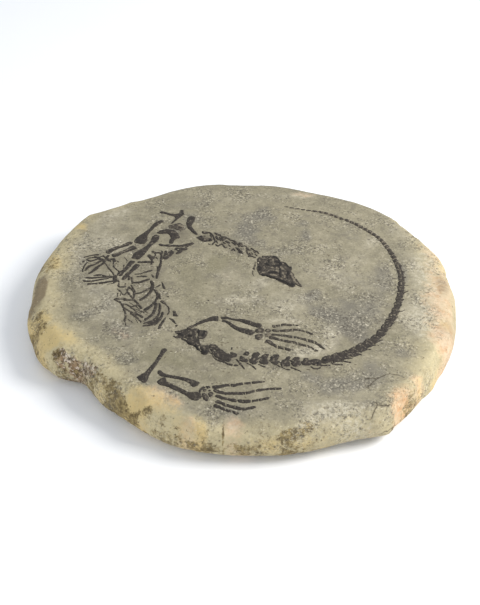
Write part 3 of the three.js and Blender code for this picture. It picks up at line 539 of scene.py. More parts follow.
def add_field(piece, name, values):
    layer = piece.data.attributes.new(name, "FLOAT", "POINT")
    layer.data.foreach_set("value", np.asarray(values, np.float32))


# Materials
def srgb(red, green, blue):
    """Linear colour from 0 to 255 screen values."""
    def linear(value):
        part = value / 255
        return part / 12.92 if part <= 0.04045 else ((part + 0.055) / 1.055) ** 2.4
    return (linear(red), linear(green), linear(blue), 1.0)


class Nodes:
    """Short way to lay out a material's nodes, and to paint one colour over another."""

    def __init__(self, name, roughness):
        self.material = bpy.data.materials.new(name)
        self.material.use_nodes = True
        self.tree = self.material.node_tree
        self.shader = self.tree.nodes["Principled BSDF"]
        self.shader.inputs["Roughness"].default_value = roughness
        self.shader.inputs["Specular IOR Level"].default_value = 0.3
        self.colour = None
        inputs = {"Vector": self.node("TexCoord", {}, "Object"), "Scale": (1 / MM,) * 3}
        self.place = self.node("Mapping", inputs, "Vector")

    def put(self, socket, value):
        if isinstance(value, bpy.types.NodeSocket):
            self.tree.links.new(value, socket)
        else:
            socket.default_value = value

    def node(self, kind, inputs, output, **settings):
        """A new node with its settings and inputs made, and the output that is wanted from it."""
        node = self.tree.nodes.new("ShaderNode" + kind)
        for name, value in settings.items():
            setattr(node, name, value)
        for socket, value in inputs.items():
            self.put(node.inputs[socket], value)
        return node.outputs[output]

    def noise(self, size, detail=3.0, roughness=0.55, offset=0.0):
        shift = {0: self.place, 1: (offset, offset * 0.7, offset * 1.3)}
        place = self.node("VectorMath", shift, 0, operation="ADD")
        inputs = {"Vector": place, "Scale": 1 / size, "Detail": detail, "Roughness": roughness}
        return self.node("TexNoise", inputs, "Fac")

    def warped(self, size, amount):
        """The place, pushed about by noise of this size."""
        push = self.node("TexNoise", {"Vector": self.place, "Scale": 1 / size}, "Color")
        inputs = {0: push, 1: (amount,) * 3, 2: self.place}
        return self.node("VectorMath", inputs, 0, operation="MULTIPLY_ADD")

    def plates(self, size, sway_size, sway):
        """Distance to the nearest border between irregular plates."""
        inputs = {"Vector": self.warped(sway_size, sway), "Scale": 1 / size}
        return self.node("TexVoronoi", inputs, "Distance", feature="DISTANCE_TO_EDGE")

    def math(self, operation, first, second):
        return self.node("Math", {0: first, 1: second}, 0, operation=operation)

    def add(self, first, second):
        return self.math("ADD", first, second)

    def times(self, first, second):
        return self.math("MULTIPLY", first, second)

    def step(self, value, low, high, to_low=0.0, to_high=1.0):
        inputs = {"Value": value, "From Min": low, "From Max": high, "To Min": to_low, "To Max": to_high}
        return self.node("MapRange", inputs, "Result", interpolation_type="SMOOTHSTEP")

    def mix(self, factor, first, second, blend="MIX"):
        inputs = {"Factor": factor, "A": first, "B": second}
        return self.node("Mix", inputs, "Result", data_type="RGBA", blend_type=blend)

    def paint(self, factor, colour):
        """Lays a colour over what has been painted so far."""
        self.colour = self.mix(factor, self.colour, colour)

    def field(self, name):
        return self.node("Attribute", {}, "Fac", attribute_name=name)

    def bump(self, height, strength, distance, before=None):
        inputs = {"Strength": strength, "Distance": distance * MM, "Height": height}
        if before is not None:
            inputs["Normal"] = before
        return self.node("Bump", inputs, "Normal")

    def finish(self, normal, roughness):
        self.put(self.shader.inputs["Base Color"], self.colour)
        self.put(self.shader.inputs["Normal"], normal)
        self.put(self.shader.inputs["Roughness"], roughness)
        return self.material


# Noise in the stone: size of its lumps, detail, roughness, and an offset that keeps it apart
STONE_NOISE = {
    "cloud": (28.0, 5.0, 0.6, 0.0), "mottle": (8.0, 6.0, 0.7, 31.0), "grain": (1.6, 3.0, 0.7, 0.0),
    "freckle": (3.4, 5.0, 0.7, 40.0), "salt": (1.9, 3.0, 0.6, 73.0), "pepper": (1.7, 3.0, 0.6, 90.0),
    "patches": (20.0, 5.0, 0.65, 55.0), "ragged": (8.0, 8.0, 0.78, 17.0), "skin": (5.0, 6.0, 0.7, 111.0),
    "blotch": (7.0, 6.0, 0.65, 170.0), "crisp": (3.4, 7.0, 0.8, 8.0), "speck": (2.4, 4.0, 0.72, 150.0),
    "dot": (2.8, 2.0, 0.5, 130.0), "fine": (2.2, 4.0, 0.75, 190.0), "relief": (9.0, 5.0, 0.62, 5.0),
}
# Ground of the stone: noise, its values where a colour starts and is full, how much it hides, colour
GROUND = (133, 126, 105)
GROUND_LAYERS = [
    ("cloud", 0.32, 0.68, 1.0, (146, 138, 115)),
    ("mottle", 0.5, 0.68, 0.7, (163, 154, 131)),
    ("mottle", 0.5, 0.34, 0.7, (121, 114, 98)),
]
# Zones in the order they lie on the ground: where a zone's edge starts and is full, how far noise
# frays it, how much it hides, and its colour or the name of its mixed colour
ZONE_LAYERS = [
    ("olive", 0.0, 1.0, 0.6, 0.6, (121, 115, 90)),
    ("white", 0.0, 1.0, 0.7, 0.55, (180, 171, 149)),
    ("grey", 0.0, 1.0, 1.6, 0.72, (110, 106, 98)),
    ("cream", 0.1, 1.0, 0.8, 0.85, "skin"),
    ("pink", 0.05, 0.9, 1.6, 0.8, "blush"),
    ("orange", 0.05, 0.9, 1.6, 0.8, "orange"),
    ("ochre", 0.1, 0.9, 1.6, 0.75, (203, 178, 120)),
    ("umber", 0.15, 0.7, 1.3, 0.8, (114, 98, 76)),
    ("rust", 0.35, 0.6, 2.4, 0.9, "rust"),
]
# Mixed colours: noise, its values where the second colour starts and is full, its share, and both
MIXED = {
    "skin": ("skin", 0.5, 0.68, 0.5, (197, 183, 144), (158, 142, 106)),
    "blush": ("blotch", 0.42, 0.66, 1.0, (217, 192, 162), (202, 160, 124)),
    "orange": ("blotch", 0.42, 0.66, 1.0, (216, 186, 150), (208, 156, 112)),
    "rust": ("freckle", 0.42, 0.56, 1.0, (74, 55, 40), (150, 122, 92)),
    # The stain colours also paint the shade in the crease under the rim and along the left edge
    "stain_and_shade": ("freckle", 0.4, 0.62, 1.0, (80, 65, 38), (148, 130, 86)),
}
RUST_FLECKS = (216, 200, 184)
SHADE = (94, 87, 75)
CRACK = (60, 50, 38)
# Specks under and over the grain: noise, its values where they start and are full, how much they
# hide, where they show, and their colour
SPECKS_UNDER = [
    ("speck", 0.5, 0.6, 0.8, "busy", (92, 87, 77)),
    ("speck", 0.44, 0.34, 0.75, "busy", (178, 169, 148)),
    ("whiter", 0.56, 0.74, 0.65, "pale", (200, 192, 170)),
]
SPECKS_OVER = [
    ("salt", 0.56, 0.68, 0.75, "coarse", (194, 185, 164)),
    ("pepper", 0.54, 0.66, 0.85, "coarse", (82, 76, 66)),
    ("dot", 0.68, 0.73, 0.7, "everywhere", (88, 78, 60)),
    ("fine", 0.56, 0.66, 0.65, "rim", (122, 106, 78)),
    ("fine", 0.42, 0.32, 0.6, "rim", (218, 206, 176)),
]
PLATE_SIZE = 21.0
PLATE_SWAY = (6.0, 5.0)


def stone_places(n, noise):
    """How much each kind of speck shows at a place."""
    grey, white, cream = n.field("grey"), n.field("white"), n.field("cream")
    lively = n.step(n.field("smooth"), 0.1, 0.7, 1.0, 0.25)
    patches = noise["patches"]
    coarse = n.step(n.add(patches, n.times(grey, 0.14)), 0.46, 0.62, 0.25, 1.0)
    coarse = n.times(n.times(coarse, n.step(cream, 0.1, 0.9, 1.0, 0.5)), lively)
    busy = n.add(patches, n.times(n.math("MAXIMUM", grey, white), 0.16))
    busy = n.step(n.add(busy, n.times(cream, 0.03)), 0.5, 0.68)
    rim = n.times(n.step(cream, 0.2, 0.5), n.step(patches, 0.36, 0.56, 0.35, 1.0))
    return {
        "everywhere": 1.0, "coarse": coarse, "pale": n.math("MAXIMUM", coarse, white),
        "busy": n.times(busy, lively), "rim": n.times(rim, lively),
    }


def mixed_colours(n, noise):
    mixed = {}
    for name, (pattern, low, high, share, first, second) in MIXED.items():
        amount = n.step(noise[pattern], low, high, 0.0, share)
        mixed[name] = n.mix(amount, srgb(*first), srgb(*second))
    mixed["rust"] = n.mix(n.step(noise["salt"], 0.54, 0.62), mixed["rust"], srgb(*RUST_FLECKS))
    return mixed


def lay_zones(n, noise, mixed):
    """The colours of the zones, each broken up by noise at its edge."""
    ragged = n.math("SUBTRACT", noise["ragged"], 0.5)
    for name, low, high, spread, most, colour in ZONE_LAYERS:
        edge = n.step(n.add(n.field(name), n.times(ragged, spread)), low, high, 0.0, most)
        amount = n.times(edge, n.step(n.field(name), 0.02, 0.25))
        n.paint(amount, mixed[colour] if isinstance(colour, str) else srgb(*colour))


def lay_stains_and_shade(n, noise, stain_and_shade):
    """Brown stains with crisp, ragged edges, with painted shade in the crease under the rim and at the left
    edge, and the shade of growth.
    """
    crisp = n.times(n.math("SUBTRACT", noise["crisp"], 0.5), 2.8)
    stained_and_shaded = n.step(n.add(n.times(n.field("brown"), 1.1), crisp), 0.5, 0.85, 0.0, 0.9)
    n.paint(n.times(stained_and_shaded, n.step(n.field("brown"), 0.05, 0.3)), stain_and_shade)
    n.paint(n.times(n.field("shade"), 0.55), srgb(*SHADE))


def lay_specks(n, noise, places, specks):
    for name, low, high, most, place, colour in specks:
        n.paint(n.times(n.step(noise[name], low, high, 0.0, most), places[place]), srgb(*colour))


def stone_material():
    n = Nodes("stone", 0.9)
    noise = {name: n.noise(*values) for name, values in STONE_NOISE.items()}
    noise["whiter"] = n.add(noise["freckle"], n.times(n.field("white"), 0.14))
    places = stone_places(n, noise)
    grain, pepper, coarse = noise["grain"], noise["pepper"], places["coarse"]
    n.colour = srgb(*GROUND)
    for name, low, high, most, colour in GROUND_LAYERS:
        n.paint(n.step(noise[name], low, high, 0.0, most), srgb(*colour))
    mixed = mixed_colours(n, noise)
    lay_zones(n, noise, mixed)
    lay_stains_and_shade(n, noise, mixed["stain_and_shade"])
    lay_specks(n, noise, places, SPECKS_UNDER)
    light = n.add(n.times(n.step(grain, 0.25, 0.75, -0.3, 0.3), coarse), 1.0)
    n.colour = n.mix(1.0, n.colour, light, "MULTIPLY")
    lay_specks(n, noise, places, SPECKS_OVER)
    crack = n.step(n.plates(PLATE_SIZE, *PLATE_SWAY), 0.03, 0.008)
    crack = n.times(crack, n.step(n.field("crack"), 0.3, 0.6))
    n.paint(n.times(crack, 0.7), srgb(*CRACK))
    normal = n.bump(noise["relief"], 0.6, 1.4)
    normal = n.bump(n.times(grain, coarse), 0.5, 0.6, normal)
    normal = n.bump(n.step(pepper, 0.6, 0.74, 1.0, 0.0), 0.4, 0.4, normal)
    normal = n.bump(crack, -0.8, 0.6, normal)
    return n.finish(normal, n.step(grain, 0.3, 0.7, 0.78, 0.94))


# Bone from its darkest to its palest
BONE_DARK = (34, 30, 26)
BONE_BROWN = (57, 51, 44)
BONE_PALE = (128, 118, 99)
BONE_WORN = (136, 126, 108)
BONE_PORES = (32, 28, 24)


def bone_material():
    n = Nodes("bone", 0.7)
    patch = n.noise(3.0, 5.0, 0.7, 12.0)
    grain = n.noise(1.2, 3.0, 0.7)
    fleck = n.noise(1.8, 4.0, 0.7, 27.0)
    tone = n.add(n.field("tone"), n.times(n.math("SUBTRACT", patch, 0.5), 2.0))
    n.colour = srgb(*BONE_DARK)
    n.paint(n.step(tone, -0.6, 0.2), srgb(*BONE_BROWN))
    n.paint(n.step(tone, 0.2, 1.3), srgb(*BONE_PALE))
    worn = n.add(fleck, n.times(n.field("tone"), 0.12))
    n.paint(n.step(worn, 0.54, 0.7, 0.0, 0.75), srgb(*BONE_WORN))
    n.paint(n.step(grain, 0.46, 0.32, 0.0, 0.6), srgb(*BONE_PORES))
    normal = n.bump(grain, 0.6, 0.3, n.bump(patch, 0.5, 0.5))
    return n.finish(normal, n.step(grain, 0.3, 0.7, 0.6, 0.85))


STONE = stone_material()
BONE = bone_material()


def add_slab():
    points, around, faces = slab_points()
    slab = new_object("stone_slab", points, faces, STONE)
    add_field(slab, "cream", cream_strength(points, around))
    for name, zones in ZONES.items():
        strength = zone_strength(points, zones)
        if name == "brown":
            # The brown field also carries the painted shade in the crease under the rim
            strength = np.maximum(strength, seam_shade_strength(points, around))
        add_field(slab, name, strength)
    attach(slab, "root")
    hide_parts("matrix_slab")
    return BVHTree.FromPolygons(points.tolist(), faces)


SLAB_SURFACE = add_slab()


def face_level(x, y):
    """Height of the slab's upper side at each place."""
    above = FACE_HEIGHT + 10
    down = (0, 0, -1)
    hits = [SLAB_SURFACE.ray_cast((px, py, above), down)[0] for px, py in zip(x.tolist(), y.tolist())]
    return np.array([hit.z if hit else 0.0 for hit in hits])


# Bones are drawn as distance fields on a fine grid and meshed as low reliefs
PITCH = 0.28
FAR = 9.0
MARGIN = 1.2
BONE_RISE = 0.6
BONE_FOOT = 0.9
EDGE_RISE = 0.06
# Bone swells up over this width inside its edge, and its hollows and ridges differ in height
SWELL_WIDTH = 0.75
TONE_HEIGHT = 0.22
# Raggedness of a bone's outline, and of a tail vertebra's
BONE_RAGGED = 0.26
TAIL_RAGGED = 0.36
# Lumps and grain on a bone: height and size
BONE_LUMP, BONE_LUMP_SIZE = 0.1, 2.2
BONE_GRAIN, BONE_GRAIN_SIZE = 0.05, 0.8
# Ragged outlines: size of the lumps, then share and size of the finer ones
RAGGED_SIZE = 2.2
FINE_SHARE, FINE_SIZE = 0.9, 0.85
# Where a ridge or a hollow fades out across its edge
MARK_EDGE = (-0.3, 0.45)
# Smooth curves take this many samples from one point to the next
STROKE_SAMPLES = 4
OUTLINE_SAMPLES = 3
TAIL_SAMPLES = 12
JUST_OFF = 1e-3


def catmull(rows, samples, closed=False):
    """Rows sampled along a smooth curve through them."""
    rows = np.asarray(rows, float)
    after = rows[:2] if closed else rows[-1:]
    padded = np.vstack([rows[-1:] if closed else rows[:1], rows, after])
    a, b, c, d = (padded[i : len(padded) - 3 + i, None, :] for i in range(4))
    t = (np.arange(samples) / samples)[None, :, None]
    bend = (a - 2.5 * b + 2 * c - d / 2) + t * ((d - a) / 2 + 1.5 * (b - c))
    curve = (b + t * ((c - a) / 2 + t * bend)).reshape(-1, rows.shape[1])
    return curve if closed else np.vstack([curve, rows[-1:]])


def distance_to(x, y, ax, ay, bx, by):
    """Distance of each place from a straight line, and how far along the line it is nearest."""
    dx, dy = bx - ax, by - ay
    t = np.clip(((x - ax) * dx + (y - ay) * dy) / max(dx * dx + dy * dy, 1e-9), 0, 1)
    return np.hypot(x - ax - t * dx, y - ay - t * dy), t


class Drawing:
    """A grid of distances to the drawn shapes: negative inside them."""

    def __init__(self, low, high):
        self.low = np.asarray(low, float) - MARGIN
        size = np.ceil((np.asarray(high, float) + MARGIN - self.low) / PITCH).astype(int) + 1
        self.x = self.low[0] + PITCH * np.arange(size[0])[:, None] + np.zeros((1, size[1]))
        self.y = self.low[1] + PITCH * np.arange(size[1])[None, :] + np.zeros((size[0], 1))
        self.far = np.full(self.x.shape, FAR)
        self.tone = np.zeros(self.x.shape)

    def window(self, points, reach):
        """The part of the grid round these points."""
        low = np.floor((points.min(0) - reach - self.low) / PITCH).astype(int)
        high = np.ceil((points.max(0) + reach - self.low) / PITCH).astype(int) + 1
        (i0, j0), (i1, j1) = np.maximum(low, 0), np.minimum(high, self.x.shape)
        return slice(i0, max(i1, i0)), slice(j0, max(j1, j0))

    def stroke_distance(self, rows):
        """Distance to a stroke, whose half width is 0.5 where a row doesn't say it."""
        rows = np.asarray([(*row, 0.5)[:3] for row in rows], float)
        rows = catmull(rows, STROKE_SAMPLES) if len(rows) > 2 else rows
        if len(rows) == 1:
            rows = np.vstack([rows, rows + (0.01, 0, 0)])
        at = self.window(rows[:, :2], rows[:, 2].max() + MARGIN)
        x, y = self.x[at], self.y[at]
        best = np.full(x.shape, FAR)
        for (ax, ay, ar), (bx, by, br) in zip(rows[:-1], rows[1:]):
            away, t = distance_to(x, y, ax, ay, bx, by)
            best = np.minimum(best, away - ar - t * (br - ar))
        return at, best

    def stroke(self, rows):
        at, distance = self.stroke_distance(rows)
        self.far[at] = np.minimum(self.far[at], distance)

    def cut(self, rows):
        at, distance = self.stroke_distance(rows)
        self.far[at] = np.maximum(self.far[at], -distance)

    def mark(self, rows, value):
        """A raised dark ridge (below 0) or a pale hollow (above 0)."""
        at, distance = self.stroke_distance(rows)
        self.tone[at] += (value - self.tone[at]) * (1 - smoothstep(*MARK_EDGE, distance))

    def shape(self, loops, samples=STROKE_SAMPLES):
        """Fills what lies inside an odd number of loops."""
        loops = [catmull(loop, samples, closed=True) for loop in loops]
        at = self.window(np.vstack(loops), MARGIN)
        x, y = self.x[at], self.y[at]
        best = np.full(x.shape, FAR)
        inside = np.zeros(x.shape, bool)
        for loop in loops:
            for (ax, ay), (bx, by) in zip(loop, np.roll(loop, -1, 0)):
                best = np.minimum(best, distance_to(x, y, ax, ay, bx, by)[0])
                if by != ay:
                    crosses = (ay > y) != (by > y)
                    inside ^= crosses & (x < ax + (y - ay) * (bx - ax) / (by - ay))
        self.far[at] = np.minimum(self.far[at], np.where(inside, -best, best))

    def roughen(self, amount, seed):
        x, y = self.x, self.y
        lumps = fractal(x, y, 0 * x, RAGGED_SIZE, seed, 2)
        wobble = lumps + FINE_SHARE * value_noise(x, y, 0 * x, FINE_SIZE, seed + 7)
        self.far = self.far + amount * wobble


def closed_gaps(inside):
    """Fills corners so that no two cells touch at a point only."""
    for _ in range(4):
        a, b = inside[:-1, :-1], inside[1:, :-1]
        c, d = inside[1:, 1:], inside[:-1, 1:]
        crossed = (a & c & ~b & ~d) | (b & d & ~a & ~c)
        if not crossed.any():
            break
        for part in (a, b, c, d):
            part |= crossed
    return inside


# The four corners of every cell of a grid, in turn
CORNERS = [
    (slice(0, -1), slice(0, -1)), (slice(1, None), slice(0, -1)),
    (slice(1, None), slice(1, None)), (slice(0, -1), slice(1, None)),
]


def corner_mean(grid):
    return sum(grid[corner] for corner in CORNERS) / 4


def relief_plan(drawing):
    """Places of the points, which cells hold them, depth inside the edge, and the quads."""
    far = drawing.far.copy()
    far[[0, -1], :] = FAR
    far[:, [0, -1]] = FAR
    inside = closed_gaps(far < 0)
    far = np.where(inside, np.minimum(far, -JUST_OFF), np.maximum(far, JUST_OFF))
    used = sum(inside[corner].astype(int) for corner in CORNERS) > 0
    sum_x, sum_y, crossings = np.zeros((3, *used.shape))
    for first, second in zip(CORNERS, CORNERS[1:] + CORNERS[:1]):
        differ = inside[first] != inside[second]
        t = np.where(differ, far[first] / np.where(differ, far[first] - far[second], 1), 0)
        sum_x += np.where(differ, drawing.x[first] + t * (drawing.x[second] - drawing.x[first]), 0)
        sum_y += np.where(differ, drawing.y[first] + t * (drawing.y[second] - drawing.y[first]), 0)
        crossings += differ
    edge = crossings > 0
    x = np.where(edge, sum_x / np.maximum(crossings, 1), corner_mean(drawing.x))[used]
    y = np.where(edge, sum_y / np.maximum(crossings, 1), corner_mean(drawing.y))[used]
    depth = np.where(edge, 0, np.maximum(-corner_mean(far), 0))[used]
    number = -np.ones(used.shape, int)
    number[used] = np.arange(used.sum())
    quads = np.stack([number[corner][inside[1:-1, 1:-1]] for corner in CORNERS], 1)
    return x, y, used, depth, quads


def relief_piece(name, drawing, seed, faint):
    """A closed low relief over the inside of a drawing, set into the face."""
    x, y, used, depth, quads = relief_plan(drawing)
    tone = corner_mean(drawing.tone)[used]
    level = face_level(x, y)
    lumps = BONE_LUMP * fractal(x, y, 0 * x, BONE_LUMP_SIZE, 300 + seed)
    texture = lumps + BONE_GRAIN * value_noise(x, y, 0 * x, BONE_GRAIN_SIZE, 310 + seed)
    swollen = 1 - np.exp(-depth / SWELL_WIDTH)
    top = level + EDGE_RISE + (BONE_RISE + texture - TONE_HEIGHT * tone) * swollen
    count = len(x)
    points = np.concatenate([np.stack([x, y, top], 1), np.stack([x, y, level - BONE_FOOT], 1)])
    edges = np.concatenate([quads[:, [k, (k + 1) % 4]] for k in range(4)])
    keys = np.sort(edges, axis=1)
    _, first, copies = np.unique(keys, axis=0, return_index=True, return_counts=True)
    rim = edges[first[copies == 1]]
    walls = np.stack([rim[:, 1], rim[:, 0], rim[:, 0] + count, rim[:, 1] + count], 1)
    faces = np.concatenate([quads, quads[:, ::-1] + count, walls]).tolist()
    piece = new_object(name, points, faces, BONE)
    add_field(piece, "tone", np.concatenate([tone, tone]) + faint)
    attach(piece, "root")
    return piece


def foot_loops(node):
    """Outlines of a CAD bone's lower face, in millimetres."""
    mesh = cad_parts[node].data
    points = np.zeros(len(mesh.vertices) * 3)
    mesh.vertices.foreach_get("co", points)
    points = points.reshape(-1, 3) / MM
    keys = {}
    same = [keys.setdefault(tuple(np.round(p[:2], 2)), i) for i, p in enumerate(points)]
    follows = {}
    for polygon in mesh.polygons:
        if polygon.normal.z > -0.5:
            continue
        corners = [same[v] for v in polygon.vertices]
        for a, b in zip(corners, corners[1:] + corners[:1]):
            if a in follows.get(b, ()):
                follows[b].remove(a)
            else:
                follows.setdefault(a, []).append(b)
    loops = []
    while any(follows.values()):
        start = next(v for v, after in follows.items() if after)
        loop = []
        at = start
        while follows.get(at):
            loop.append(points[at, :2])
            at = follows[at].pop()
        loops.append(np.array(loop))
    return [loop for loop in loops if len(loop) > 2]


